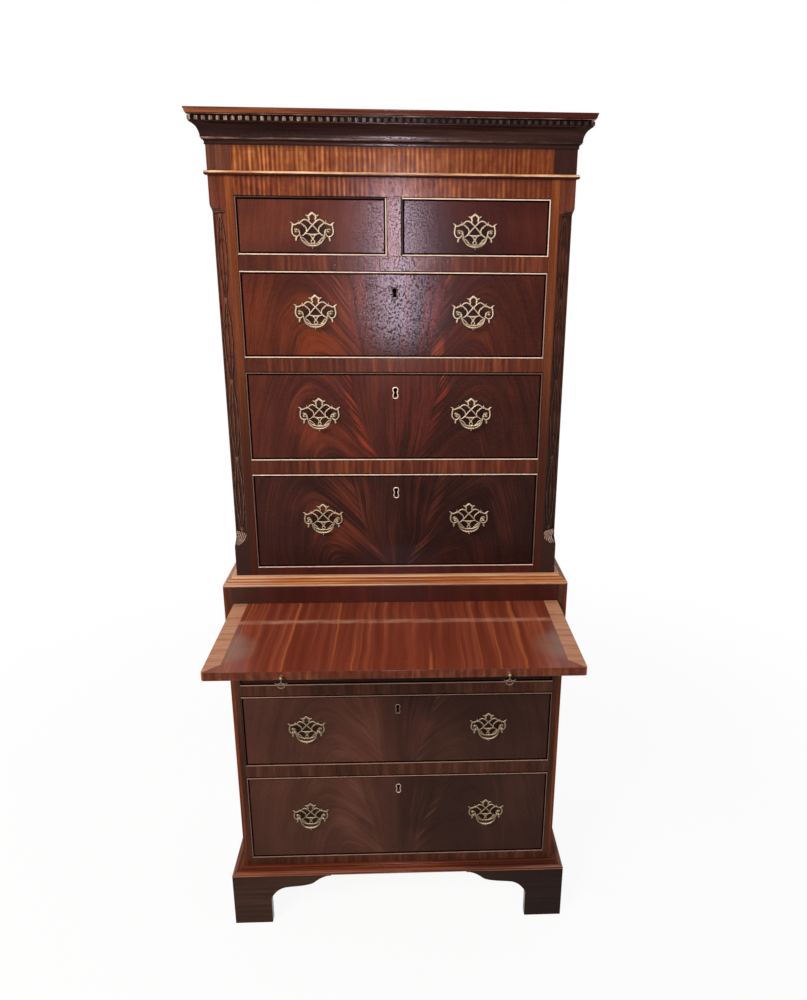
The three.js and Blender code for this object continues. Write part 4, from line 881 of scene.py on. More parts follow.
def fretSolids():
    # Two strands cross at each rosette: across = swing |sin(pi u)|^0.8, with u counting the loops.
    length, thick = fret["high"] - fret["low"], fret["thick"]
    repeat = length / fret["repeats"]

    def swung(u):
        return fret["swing"] * np.sin(math.pi * u) ** 0.8

    solids = []
    for k in range(fret["repeats"]):
        u = np.linspace(0.03, 0.97, 13)
        for side in (-1, 1):
            solids.append(strand(np.column_stack([side * swung(u), (k + u) * repeat]), fret["strand"], thick - 0.3, 0.1,
                                 count=40, sides=8))
            # a leaf curls from each strand towards the border, one up and one down
            for u0, away in ((0.24, 1), (0.5, 1), (0.76, -1)):
                x0, z0 = side * swung(u0), (k + u0) * repeat
                leaf = [(x0, z0), (x0 + side * 2.4, z0 + away * 5), (side * 15.6, z0 + away * 12),
                        (side * 15.9, z0 + away * 20)]
                solids.append(strand(leaf, [2.2, 2.4, 2.0, 1.3], thick - 0.8, 0.1, count=14, sides=6))
            # inner bars lean from the spindle out to the strand
            for u0, away in ((0.2, 1), (0.34, 1), (0.66, -1), (0.8, -1)):
                x1, z0 = side * (swung(u0) - 0.8), (k + u0) * repeat
                bar = [(side * 0.8, z0 - away * 9), (x1 * 0.55, z0 - away * 5), (x1, z0 + away * 3)]
                solids.append(strand(bar, [1.9, 1.7, 1.9], thick - 0.9, 0.1, count=10, sides=6))
        u = np.linspace(0.09, 0.91, 9)
        spindle = 1.5 + 1.5 * np.abs(np.sin(3 * math.pi * u))
        solids.append(strand(np.column_stack([u * 0, (k + u) * repeat]), spindle, thick - 0.5, 0.1, count=36, sides=8))
    for k in range(fret["repeats"] + 1):
        up = min(max(k * repeat, 5.0), length - 5.0)
        solids.append(turned([(5.6, -0.1), (5.6, -1.2), (4.6, -2.0), (3.4, -1.7), (2.6, -2.5), (0.8, -2.65)],
                             (0, 0, up), "y", 16))
    return solids + [strand([(x, 1.0), (x, length - 1.0)], 1.5, thick - 0.2, 0.1, count=6, sides=8)
                     for x in (-16.2, 16.2)]


def ontoCant(solid, side):
    # Turned about the upright axis so that -y becomes the cant's own outward direction.
    angle = math.atan2(post["cant"][1], post["cant"][0]) * side
    c, s = math.cos(angle), math.sin(angle)
    outward = np.array([side * math.sin(abs(angle)), -math.cos(angle)])
    x, y, z = solid["points"].T
    sunkX = side * fret["centre"][0] - outward[0] * post["bed"]
    sunkY = fret["centre"][1] - outward[1] * post["bed"]
    points = np.column_stack([c * x - s * y + sunkX, s * x + c * y + sunkY, z + fret["low"]])
    return {**solid, "points": points}


def stopReeds():
    # Three reeds lie across the upper stop, and a fan of six runs down the lower one, all on the cant's slope.
    solids = []
    slope = math.hypot(*post["cant"])
    for k in range(3):
        share = 0.92 - 0.16 * k  # how much of the cant is cut at this height of the stop
        up = fret["high"] - fret["low"] + 1.6 + 3.0 * k
        halfWide = slope * share / 2 - 1.2
        sunk = (1 - share) * post["cant"][0] * post["cant"][1] / slope
        solids.append(strand([(-halfWide, up), (halfWide, up)], 2.2, 1.7, post["bed"] + sunk - 0.5, count=6))
    for k in range(6):
        # slanting reeds, cut off at the sides and tapering to the foot of the stop
        ends = [(k * 5.4 - 24.0 + 0.52 * t, t - 27.0) for t in np.linspace(0.0, 25.0, 26)]
        ends = [(x, z) for x, z in ends if abs(x) < min(14.8, 4.0 + (z + 30.0) * 0.9)]
        if len(ends) < 4:
            continue
        reed = strand([ends[0], ends[-1]], [1.8, 2.2], 1.9, post["bed"] - 0.2, count=24, skin=1)
        u = np.clip((reed["points"][:, 2] + fret["low"] - post["low"]) / post["lowStop"], 0, 1)
        reed["points"][:, 1] -= (1 - 3 * u**2 + 2 * u**3) * post["cant"][0] * post["cant"][1] / slope
        solids.append(reed)
    return solids


for side, word in pair:
    makePiece(f"stop_carving_{word}", [ontoCant(solid, side) for solid in stopReeds()], [fretWood, reedLitWood], smooth=50)
    makePiece(f"fret_{word}", [ontoCant(solid, side) for solid in fretSolids()], fretWood,
              standsFor=[f"fret_corner_{word}"], smooth=50)

# ---- lower case and its mouldings

print("upper case made")
front, inner, opening = plan["lowerFront"], plan["lowerOpening"] - 0.02, plan["lowerOpening"]
edge = {"deep": 2.5, "split": 371.6}  # the front edge of each side, in two veneers
makePiece("lower_sides", bothSides([board((opening, front + edge["deep"], lowerFoot),
                                          (plan["lowerHalf"], backPlane, level["lowerTop"]), "z", 0.6, seed=70.0)]),
          sideWood, standsFor=["lower_carcase"])
makePiece("lower_edges", bothSides([
    board((opening, front, lowerFoot), (edge["split"], front + edge["deep"], level["lowerTop"]), "z", 0.3, seed=71.0),
    board((edge["split"], front, lowerFoot), (plan["lowerHalf"], front + edge["deep"], level["lowerTop"]), "z", 0.5,
          seed=72.0, skin=1)]), [lowerBand, edgeWood])
lows = (lowerFoot, 407.0, 625.9, 815.0)
floors = [level[word] for word in ("drawer6", "drawer5", "drawer4", "slideFloor")]
rails = [rail(low, high, inner, front, 73 + k) for k, (low, high) in enumerate(zip(lows, floors))]
rails.append(rail(level["slotTop"], level["lowerTop"], inner, front, 77, case["frieze"], 1))
makePiece("lower_rails", rails, [lowerBand, redBand])
deep = front + case["rail"]
shelves = [acrossBoard(inner, deep, boardBack, high - case["dustBoard"], high, seed=80.0 + high) for high in floors]
shelves += [acrossBoard(inner, deep, boardBack, lowerFoot, level["foot"] + 18.3, seed=91.0),
            acrossBoard(inner, front + 20, boardBack, level["lowerTop"] - 18, level["lowerTop"], seed=92.0)]
kicker = board((343.0, front + 20, level["slotTop"]), (inner, boardBack, level["lowerTop"] - 18), "y", 0.4, seed=93.0)
makePiece("lower_dust_boards", shelves + bothSides([kicker]), liningOak)
makePiece("lower_backs", backBoards(360.7, lowerFoot, level["lowerTop"], 94.0), backPine, "case",
          ["lower_back_boards"])


def raised(lines, by):  # a moulding's painted highlight and painted shade lines, from its own foot
    return [(low + by, high + by, tone, share) for low, high, tone, share in lines]


waist = {"high": 17.6, "fillet": 4.5, "reeds": 3, "out": 26.5,
         "lines": [(0.0, 1.5, (128, 100, 94), 0.8), (1.5, 2.1, (46, 24, 20), 0.9), (2.1, 4.6, (222, 180, 150), 0.8),
                   (4.6, 5.4, (70, 34, 22), 0.8), (8.6, 9.4, (112, 58, 34), 0.8), (12.9, 13.6, (112, 58, 34), 0.7),
                   (14.6, 17.7, (226, 182, 144), 0.75)]}
low, out, fillet = upperFoot, waist["out"], upperFoot + waist["fillet"]
reedHigh = (waist["high"] - waist["fillet"]) / waist["reeds"]
reedDeep = (out - seat) / (waist["reeds"] + 1)
profile = [(seat, low), (out - 0.4, low), (out, low + 0.5), (out, fillet - 0.6), (out - 0.5, fillet)]
for k in range(waist["reeds"]):
    reed, foot = out - k * reedDeep, fillet + k * reedHigh
    profile += [(reed - reedDeep * 0.42, foot), (reed - reedDeep * 0.42, foot + 0.5)]
    profile += curve((reed - reedDeep * 0.36, foot + 0.6), (reed - reedDeep * 0.4, foot + reedHigh),
                     (reed - reedDeep * 0.95, foot + reedHigh), 5)
profile += [(seat + 1.0, low + waist["high"]), (seat, low + waist["high"])]
# the waist is paler towards the left end: painted light falling from the left, and wear
waistWood = woodFinish("waist_mahogany", [(118, 58, 26), (170, 98, 52), (210, 144, 96)], 16.0,
                       fade=(0, -0.2, -0.39, (212, 160, 128), 0.6), lines=raised(waist["lines"], low))
makePiece("waist_mould", aroundUpper(profile, 100.0), waistWood, "case", ["waist_moulding"], 40)

base = {"out": 27.0, "cove": 9.0, "high": 13.7,
        "lines": [(1.6, 3.4, (214, 146, 100), 0.6), (6.4, 7.0, (190, 130, 112), 0.55), (10.2, 10.9, (52, 22, 14), 0.8),
                  (12.6, 13.8, (92, 46, 30), 0.6)]}
low, out = lowerFoot, base["out"]
lip, high = low + base["high"] / 2, low + base["high"]
profile = [(seat, low), (out - 2.6, low)] + curve((out - 2.6, low), (out, low), (out, low + 3.2), 5)
profile += curve((out, low + 3.2), (out, lip), (out - 3.2, lip), 5)
profile += curve((out - 3.2, lip), (base["cove"], lip), (base["cove"], high - 3.5), 8)
profile += [(7.6, high - 3.5), (7.6, high - 3.0)] + curve((7.6, high - 3.0), (7.2, high), (3.6, high), 5)
profile += [(seat, high)]
# the base darkens to the right: painted shade
baseWood = woodFinish("base_mahogany", [(46, 18, 11), (92, 38, 19), (142, 70, 36)], 18.0,
                      fade=(0, 0.0, 0.3, (62, 28, 19), 0.7), lines=raised(base["lines"], low))
makePiece("base_mould", mitredRuns(profile, plan["lowerHalf"], front, backPlane, 101.0), baseWood,
          standsFor=["base_moulding"], smooth=40)

# ---- feet

foot = {"thick": 20.0, "wide": 92.0, "front": 241.0, "side": 192.0, "rear": 130.0, "block": 42.0,
        "knots": [(92.0, 70.0), (92.8, 75.0), (97.6, 83.6), (108.0, 95.6), (121.0, 103.6), (134.0, 106.6),
                  (151.6, 108.2), (169.0, 110.0), (186.4, 113.4), (196.9, 117.6), (205.6, 124.4), (214.3, 130.6),
                  (225.0, 135.6), (234.0, 138.2), (240.6, 139.1)]}


def bracketOutline(length):
    # From the corner at zero: the foot, the curve of the knee, the long shoulder and the tail's ogee.
    top, wide = level["foot"], foot["wide"]
    knots = np.array(foot["knots"], float)
    knots[:, 0] = np.where(knots[:, 0] > 134, 134 + (knots[:, 0] - 134) * (length - 134) / (foot["front"] - 134),
                           knots[:, 0])
    outline = [(0, 0), (wide - 3.0, 0)] + curve((wide - 3.0, 0), (wide, 0), (wide, 3.0), 4)
    outline += smoothPath(knots, 60).tolist()
    outline += [(length, top), (0, top)]
    return np.array(outline, float)


def bracket(length, seed, mitred=True):
    # The corner's end is cut to a mitre: it moves in as far as the layer lies back from the face.
    solid = slab(bracketOutline(length), 0.0, foot["thick"], "y", 0.8, "x", seed)
    if mitred:
        x, y, z = solid["points"].T
        solid["points"] = np.column_stack([np.where(x < 5, x + y, x), y, z])
    return solid


def turnedTo(solid, place):  # each point moved by a rule, and the faces outward again
    return solidFrom(np.column_stack(place(*solid["points"].T)), solid["quads"], solid["tris"], solid["place"])


def footSolids(facing, flank, y0, toward, seed):
    # One bracket faces the front or the back, one faces outward along the side, and a glue block joins them.
    outer, thick, block = plan["plinthHalf"], foot["thick"], foot["block"]
    near, far = sorted((y0 + toward * thick, y0 + toward * (thick + block)))
    glue = board((outer - thick - block, near, 0.4), (outer - thick, far, level["foot"]), "z", 1.0, seed=seed, skin=1)
    return [turnedTo(facing, lambda x, y, z: (outer - x, y + min(y0, y0 + toward * thick), z)),
            turnedTo(flank, lambda x, y, z: (outer - y, y0 + toward * x, z)), glue]


plain = slab([(foot["thick"], 0), (foot["wide"], 0), (foot["rear"], level["foot"]), (foot["thick"], level["foot"])],
             0.0, foot["thick"], "y", 0.8, "x", 113.0)
feet = {"front": footSolids(bracket(foot["front"], 110.0), bracket(foot["side"], 111.0), plan["plinthFront"], 1, 112.0),
        "back": footSolids(plain, bracket(foot["side"], 114.0, False), backPlane, -1, 115.0)}
for word, solids in feet.items():
    for side in ("right", "left"):
        makePiece(f"{word}_foot_{side}", [moved(solid, mirror=side == "left") for solid in solids],
                  [footWood, backPine], standsFor=[f"foot_{word}_{side}"], smooth=40)
print("lower case made")

# ---- drawers

fitting = {"clearance": 0.8, "top": 1.0, "face": 9.0, "thick": 22.0, "bead": (2.9, 2.0), "quirk": 2.7, "side": 10.0,
           "bottom": 7.0, "rise": 5.0, "drop": 12.0, "behind": 15.0}
# Each drawer: its name, middle, level, width and height, whether it is in the upper case, its handles and
# how far they sit above its middle.
openings = [("short_drawer_left", -160.3, "short", 293.4, 108.9, True, [("", 1.8)], -10.5),
            ("short_drawer_right", 160.3, "short", 293.4, 108.9, True, [("", -1.8)], -10.5)]
openings += [(f"long_drawer_{k}", 0.0, f"drawer{k}", 2 * (307.0 if k < 4 else 361.0), high, k < 4,
              [("_left", -spread), ("_right", spread)], 3.5)
             for k, high, spread in ((1, 171.2, 158.5), (2, 186.9, 158.5), (3, 214.5, 158.5), (4, 161.6, 212.5),
                                     (5, 186.7, 212.5), (6, 231.4, 212.5))]
# how brightly each bead's runs are painted lit, 0 pale, 1 dim, 2 dark, 3 reddish: bottom, right end, top, left end
beadLighting = {"short_drawer_left": (0, 0, 2, 1), "short_drawer_right": (0, 0, 0, 2), "long_drawer_1": (0, 3, 0, 1),
            "long_drawer_2": (0, 1, 1, 1), "long_drawer_3": (0, 1, 0, 1), "long_drawer_4": (3, 2, 2, 2),
            "long_drawer_5": (3, 1, 3, 2), "long_drawer_6": (3, 1, 3, 1)}
keyhole = {"round": 3.0, "foot": 2.2, "waist": 1.3, "length": 14.0, "drops": (41.5, 37.0)}


def keyholeOutline(x, z, grow=0.0):
    # A round head over a slot that widens downwards, anticlockwise.
    head = keyhole["round"] + grow
    neck, footHalf = keyhole["waist"] + grow, keyhole["foot"] + grow
    a = np.linspace(-math.pi / 2 + 0.5, 1.5 * math.pi - 0.5, 15)
    low = keyhole["round"] - keyhole["length"] - grow
    points = [(head * math.cos(t), head * math.sin(t)) for t in a]
    points += [(-footHalf, low), (footHalf, low)]
    return np.array(points) + (x, z)


def piercedSlab(outline, holes, start, thick, edge):
    # A slab along y whose holes run through it. All loops are eased alike and share one triangulated cap.
    loops = [np.array(outline, float)] + [hole[::-1] for hole in holes]
    inners = [insetLoop(loop, edge) for loop in loops]
    sizes = [len(loop) for loop in loops]
    total = sum(sizes)
    inner, outer = np.concatenate(inners), np.concatenate(loops)
    points = np.concatenate([onAxis("y", start + far, *loop.T) for loop, far in
                             ((inner, 0.0), (outer, edge), (outer, thick - edge), (inner, thick))])
    firsts = np.cumsum([0] + sizes[:-1])
    here = np.arange(total)
    onward = np.concatenate([first + (np.arange(size) + 1) % size for first, size in zip(firsts, sizes)])
    row = np.stack([here, onward, onward + total, here + total], axis=1)
    quads = np.concatenate([row + k * total for k in range(3)])
    cap = flatCap(inners)
    return solidFrom(points, quads, np.concatenate([cap[:, ::-1], cap + 3 * total]), "x", soft=False)


def cockbead(half, low, high, face, toneChoice):
    # A strip round the edge of the front, mitred at its corners, its outer arris rounded over, with a line of
    # painted shade inside it. Its four runs are the bottom, the right end, the top and the left end.
    wide, proud = fitting["bead"]
    a = np.linspace(math.pi, 0, 9)
    profile = [(0.0, 8.0)] + [(wide / 2 + wide / 2 * math.cos(t), -proud * (0.45 + 0.55 * math.sin(t))) for t in a]
    profile += [(wide, -0.25), (wide + fitting["quirk"], -0.1), (wide + fitting["quirk"], 8.0)]
    inset, back = np.array(profile).T
    corners = [(-1, -1), (1, -1), (1, 1), (-1, 1)]
    middle, tall = (low + high) / 2, (high - low) / 2
    rings = np.stack([np.column_stack([sx * (half - inset), face + back, middle + sz * (tall - inset)])
                      for sx, sz in corners])
    # the grain's place holds the run along the bead, the way across it and how far it stands proud
    along = np.cumsum([0.0, 2 * half, high - low, 2 * half])
    place = np.stack(np.broadcast_arrays(along[:, None], inset[None, :], np.maximum(-back, 0.0)[None, :]), axis=-1)
    bead = closedRing(rings, grain=place.reshape(-1, 3))
    skins = np.repeat(np.array(toneChoice)[:, None], len(inset), axis=1)
    skins[:, -4:-1] = 4  # the line of painted shade
    return {**bead, "skin": skins.ravel()}


threads = {"long_drawer_1": threadShaded, "long_drawer_5": threadDim}
# The brass thread round a keyhole: a round head, a waist and a rounded foot.
threadKnots = [(0, 6.0), (3.6, 5.0), (5.3, 1.8), (4.7, -2.0), (3.5, -4.6), (4.3, -8.0), (5.2, -12.2), (4.0, -15.8),
               (0, -17.0), (-4.0, -15.8), (-5.2, -12.2), (-4.3, -8.0), (-3.5, -4.6), (-4.7, -2.0), (-5.3, 1.8),
               (-3.6, 5.0)]


def dressDrawer(name, middleX, place, width, height, upper, handles, handleRise, face):
    low, half = level[place], width / 2 - fitting["clearance"]
    bottom, top = low + seat, low + height - fitting["top"]
    front = 0.0 if upper else plan["lowerFront"]
    left, right = middleX - half, middleX + half
    faceBack, fillBack = front + fitting["face"], front + fitting["thick"]
    wide = fitting["bead"][0] + fitting["quirk"]
    outline = [(left + wide, bottom + wide), (right - wide, bottom + wide), (right - wide, top - wide),
               (left + wide, top - wide)]
    holes = []
    if name.startswith("long"):
        headZ = low + height - keyhole["drops"][0 if upper else 1] + keyhole["length"] / 2 - keyhole["round"]
        holes.append(keyholeOutline(0.0, headZ, 1.5))
    core = board((left, faceBack, bottom), (right, fillBack, top), "x", 0.5)
    makePiece(f"{name}_face", [piercedSlab(outline, holes, front, fitting["face"], 0.25), core], face, name,
              [f"{name}_front"])
    edge = moved(cockbead(half, bottom, top, front, beadLighting[name]), (middleX, 0, 0))
    makePiece(f"{name}_cockbead", [edge], [beadLitWood, beadHalfLit, beadShaded, beadRedHalfLit, quirkShadeWood], name,
              smooth=40)
    if holes:
        thread = strand([(x, headZ + z) for x, z in threadKnots], 2.9, 1.9, -0.9, count=56, sides=8, closed=True)
        # the lock plate behind the keyhole is near black: painted shade seen through the hole
        lock = board((-16, faceBack - 0.1, headZ - 22), (16, faceBack + 0.6, headZ + 10), "x", 0.2, skin=1)
        makePiece(f"{name}_escutcheon", [moved(thread, (0, front, 0)), lock],
                  [threads.get(name, threadBrass), quirkShadeWood], name, smooth=60)
    # the box: two sides, a back and a bottom held above their lower edges
    boxFront, boxBack = fillBack + seat, boardBack - fitting["behind"]
    side, high, floor = fitting["side"], low + height - fitting["drop"], bottom + fitting["rise"]
    seed = 120.0 + low / 10
    makePiece(f"{name}_lining", [
        board((left, boxFront, bottom), (left + side, boxBack, high), "y", 1.2, seed=seed - 1),
        board((right - side, boxFront, bottom), (right, boxBack, high), "y", 1.2, seed=seed + 1),
        board((left + side, boxBack - side, floor), (right - side, boxBack, high - 1), "x", 1.2, seed=seed + 3),
        board((left + side, boxFront, floor), (right - side, boxBack - side, floor + fitting["bottom"]), "y", 0.3,
              seed=seed + 4)], liningOak, name, [f"{name}_box"])
    for word, x in handles:
        dressHandle(name, word, (middleX + x, front, low + height / 2 + handleRise))


# ---- brass handles

# The right half of the pierced plate as cast strands: knots from the middle between the pommels
# (across, up), widths, and height. The left half mirrors them.
plateStrands = [
    ([(0, 34.6), (3.4, 32.0), (6.1, 29.8), (7.0, 26.3), (5.8, 22.8), (6.6, 20.4)], [4.2, 4.0, 4.0, 3.7, 3.2, 2.8], 2.5),
    ([(6.3, 29.0), (9.5, 29.3), (12.4, 30.8)], [3.8, 3.2, 1.7], 2.0),
    ([(-11.5, -0.5), (-5.6, 6.6), (0, 12.3), (4.5, 16.6), (9.4, 20.8), (14.8, 22.4), (19.5, 20.3), (23.2, 16.6),
      (25.6, 14.4)], [2.6, 2.5, 2.7, 2.8, 3.0, 3.0, 2.8, 2.6, 2.4], 2.4),
    ([(24.2, 16.0), (25.4, 18.2), (26.6, 20.6)], [2.4, 1.9, 1.4], 2.0),
    ([(23.2, 16.4), (27.5, 15.6), (31.5, 13.5), (35.5, 12.6), (38.5, 14.6), (40.5, 16.6), (42.8, 17.4)],
     [2.8, 3.1, 3.2, 3.2, 3.0, 2.4, 1.7], 2.5),
    ([(38.2, 13.0), (38.9, 9.0), (39.9, 3.0), (39.5, -2.5), (36.5, -7.0), (31.5, -9.0), (27.0, -6.5), (25.3, -1.5),
      (27.5, 3.0), (31.5, 5.0), (34.5, 3.6)], [3.0, 3.3, 3.4, 3.4, 3.3, 3.3, 3.0, 2.8, 2.6, 2.4, 2.3], 2.6),
    ([(30.0, -8.8), (32.4, -12.3), (32.9, -16.0)], [3.0, 3.3, 3.5], 2.2),
    ([(22.0, 15.2), (17.5, 12.4), (13.5, 8.5), (11.6, 3.5), (12.6, -1.5), (17.5, -5.8), (24.0, -9.0)],
     [2.4, 2.6, 2.6, 2.7, 2.8, 2.7, 2.6], 2.3),
    ([(17.6, 12.0), (17.4, 10.6), (16.6, 9.2)], [2.0, 1.7, 1.3], 1.8),
    ([(12.6, -3.2), (8.5, -4.0), (4.2, -4.8), (0.0, -5.4)], [2.5, 2.4, 2.8, 3.6], 2.1),
    ([(8.2, -4.4), (4.6, -6.6), (2.3, -9.6), (0.8, -14.4)], [2.2, 2.3, 2.1, 2.0], 2.0),
    ([(24.0, -9.0), (21.0, -14.5), (15.5, -19.5), (8.0, -22.2), (0.0, -22.8)], [3.0, 3.1, 3.2, 3.2, 3.3], 2.6),
    ([(23.5, -9.5), (17.0, -12.5), (12.5, -17.6), (9.5, -20.4)], [2.4, 2.2, 2.1, 1.9], 1.9),
]
pommels = {"half": 31.0, "reach": 10.0, "radius": 3.7, "shank": 2.0, "behind": 28.0}


def handleSolids():
    # The cast plate with a ring at its foot, then a pommel, its shank and its nut behind the front on each side.
    solids = [strand([(side * x, z) for x, z in knots], np.multiply(widths, 1.22), height, 0.3, square=0.85)
              for knots, widths, height in plateStrands for side in (1, -1)]
    ring = [(3.3 * math.cos(t), -18.2 + 3.3 * math.sin(t)) for t in np.linspace(0, 2 * math.pi, 12, endpoint=False)]
    solids.append(strand(ring, 2.4, 2.2, 0.3, count=28, closed=True))
    solids.append(strand([(0.0, -10.4), (0.0, -15.2)], [2.2, 2.4], 2.2, 0.3, count=6))
    reach, radius, shank = pommels["reach"], pommels["radius"], pommels["shank"]
    profile = [(4.2, -0.4), (4.4, -1.4), (4.1, -2.2), (2.9, -2.8), (2.3, -3.8), (2.1, -5.6)]
    profile += [(radius * math.cos(t), -reach - radius * 0.92 * math.sin(t))
                for t in np.linspace(-1.05, math.pi / 2, 9)[:-1]] + [(0.4, -reach - radius * 0.92)]
    for x in (-pommels["half"], pommels["half"]):
        nut = turned([(3.0, 22.3), (5.6, 22.4), (5.8, 23.4), (5.6, 25.2), (3.0, 25.4)], (x, 0, 0), "y", 6)
        solids += [turned(profile, (x, 0, 0), "y", 24),
                   board((x - shank, -1.0, -shank), (x + shank, pommels["behind"], shank), "y", 0.4),
                   {**nut, "soft": False}]
    return solids


def bailSolids():
    # Two arms bend in from the pommels like a swan's neck and meet in a thick middle with three bands. A
    # band adds grow exp(-((s - at) / wide)^2) to the radius at a distance s from the middle.
    knots = [(-29.6, 3.6), (-26.6, 3.4), (-24.4, 0.4), (-23.9, -4.4), (-22.6, -9.4), (-21.3, -14.0), (-18.4, -19.0),
             (-12.8, -23.2), (-6.3, -25.4), (0.0, -26.0)]
    knots += [(-x, z) for x, z in knots[-2::-1]]
    x, z = smoothPath(knots, 73).T
    s = np.where(z > -15, 30.0, np.abs(x))
    radius = 1.6 + 1.3 * np.exp(-(s / 11.5) ** 4)
    for at, wide, grow in ((0.0, 1.5, 0.5), (5.2, 0.9, 0.3), (11.5, 1.0, 0.45), (14.2, 0.7, 0.2)):
        radius = radius + grow * np.exp(-((s - at) / wide) ** 2)
    solids = [rod(onAxis("x", x, 0, z), radius)]
    for side in (-1, 1):
        pin = [(side * x, 0.0, z) for x, z in ((29.6, 0.0), (27.6, 0.0), (26.2, -0.2), (25.0, -0.8), (24.2, -1.8))]
        solids.append(rod(pin, [1.3, 1.3, 1.5, 1.6, 1.5], 12))
        solids.append(turned([(0.3, -1.5), (1.5, -1.2), (1.9, 0.0), (1.5, 1.2), (0.3, 1.5)], (side * 30.0, 0, 3.6),
                             "y", 14))
    drop = [(0.3, -32.0), (1.3, -31.4), (1.8, -30.4), (1.2, -29.2), (1.4, -28.4), (0.6, -27.4)]
    return solids + [turned(drop, axis="z", sides=16)]


def dressHandle(name, word, centre):
    for kind, part, solids, body, smooth, out in (("backplate", "plate", handleSolids(), name, 45, 0.0),
                                                  ("swan_bail", "bail", bailSolids(), f"{name}_bail{word}", 50,
                                                   pommels["reach"])):
        makePiece(f"{name}_{kind}{word}", [moved(moved(solid, centre), (0, -out, 0)) for solid in solids], brass, body,
                  [f"{name}_{part}{word}"], smooth)


shortLift = level["short"] + 44
faces = [shortFinish("short_left_veneer", 158.5, shortLift, 0.0, [(62, 28, 20), (84, 39, 28), (110, 54, 38)]),
         shortFinish("short_right_veneer", 158.5, shortLift, 40.0, [(46, 18, 13), (64, 25, 18), (86, 36, 25)])]
# The long drawers' veneers from the top down. A glow is a patch of warmer or darker wood: its place across
# and above the drawer's lower edge, its reach both ways, its strength and its tone.
flames = [
    {"spine": (65, 112), "crown": 84, "fall": 2.2, "bold": 1.0, "ridge": 0.5, "line": (166, 78, 44),
     "left": [(50, 22, 15), (78, 34, 21), (118, 54, 29)], "right": [(42, 17, 13), (68, 28, 19), (98, 44, 26)],
     "glows": [(-140, 60, 110, 100, 0.85, (118, 50, 21)), (-86, 128, 40, 50, 0.8, (124, 53, 21)),
               (50, 90, 66, 110, 0.8, (124, 48, 33)), (88, 20, 16, 50, 0.7, (156, 68, 40))]},
    {"spine": (42, 100), "crown": 84, "fall": 2.1, "bold": 0.95, "ridge": 0.55, "line": (168, 66, 36),
     "left": [(46, 21, 17), (74, 34, 26), (108, 52, 34)], "right": [(38, 17, 13), (60, 27, 19), (92, 43, 27)],
     "glows": [(-175, 110, 60, 130, 0.6, (124, 54, 32)), (-90, 40, 60, 50, 0.6, (120, 50, 30)),
               (40, 110, 60, 120, 0.6, (104, 42, 34)), (245, 100, 44, 130, 0.5, (98, 40, 28))]},
    {"spine": (16, 104), "crown": 92, "fall": 2.1, "bold": 1.0, "ridge": 0.5, "line": (138, 68, 52),
     "left": [(36, 18, 15), (56, 28, 23), (86, 43, 32)], "right": [(30, 15, 12), (46, 22, 17), (74, 36, 26)],
     "glows": [(-120, 120, 90, 150, 0.7, (114, 52, 32)), (62, 130, 50, 110, 0.6, (104, 44, 30)),
               (230, 120, 60, 120, 0.4, (84, 38, 28))]},
    # drawer 4 behind the slide: its tones are painted dark as shade under the slide
    {"spine": (30, 90), "crown": 92, "fall": 2.2, "bold": 0.6, "ridge": 0.2, "line": (80, 50, 40),
     "left": [(28, 15, 12), (36, 20, 16), (50, 29, 23)], "right": [(24, 13, 11), (32, 18, 15), (44, 26, 21)],
     "glows": []},
    {"spine": (32, 94), "crown": 90, "fall": 2.0, "bold": 0.65, "ridge": 0.45, "line": (112, 70, 56),
     "left": [(46, 27, 22), (76, 45, 36), (104, 64, 51)], "right": [(36, 21, 17), (54, 32, 26), (78, 47, 37)],
     "glows": [(-80, 40, 60, 60, 0.4, (86, 44, 34)), (42, 90, 44, 110, 0.5, (92, 52, 42)),
               (-14, 100, 34, 200, 0.65, (44, 26, 21)), (190, 110, 80, 130, 0.4, (44, 26, 22))]},
    {"spine": (24, 110), "crown": 76, "fall": 2.0, "bold": 0.6, "ridge": 0.4, "line": (112, 72, 56),
     "left": [(46, 27, 21), (72, 43, 34), (98, 60, 47)], "right": [(35, 21, 16), (52, 31, 25), (76, 46, 36)],
     "glows": [(-110, 120, 60, 110, 0.5, (104, 64, 50)), (-300, 130, 60, 130, 0.3, (88, 50, 40)),
               (46, 100, 44, 140, 0.55, (96, 56, 44)), (-14, 110, 30, 210, 0.6, (38, 22, 18)),
               (130, 120, 62, 160, 0.6, (38, 22, 19))]},
]
for k, (look, (_, _, place, _, high, upper, pulls, rise)) in enumerate(zip(flames, openings[2:])):
    low, face = level[place], 0.0 if upper else plan["lowerFront"]
    look.update(low=low, height=high, shift=1.0 + 11 * k, face=(face + yShift) * mm, pull=pulls[1][1],
                lift=low + high / 2 + rise)
    faces.append(flameFinish(f"flame_veneer_{k + 1}", look))
for opening, face in zip(openings, faces):
    dressDrawer(*opening, face)
print("drawers made")

# ---- brushing slide

slide = {"half": 359.5, "front": -325.5, "back": 74.5, "low": 841.3, "high": 858.3, "clamp": 31.0,
         "round": 5.0, "pull": 211.5, "ball": 3.3, "reach": 8.0, "level": 849.8}
half, clamp = slide["half"], slide["clamp"]
thick = slide["high"] - slide["low"]
frontY, backY = slide["front"], slide["back"]
panel = slab([(-half + clamp, frontY + clamp), (half - clamp, frontY + clamp), (half - clamp, backY),
              (-half + clamp, backY)], slide["low"], thick, "z", 0.08, "y", 150.0)
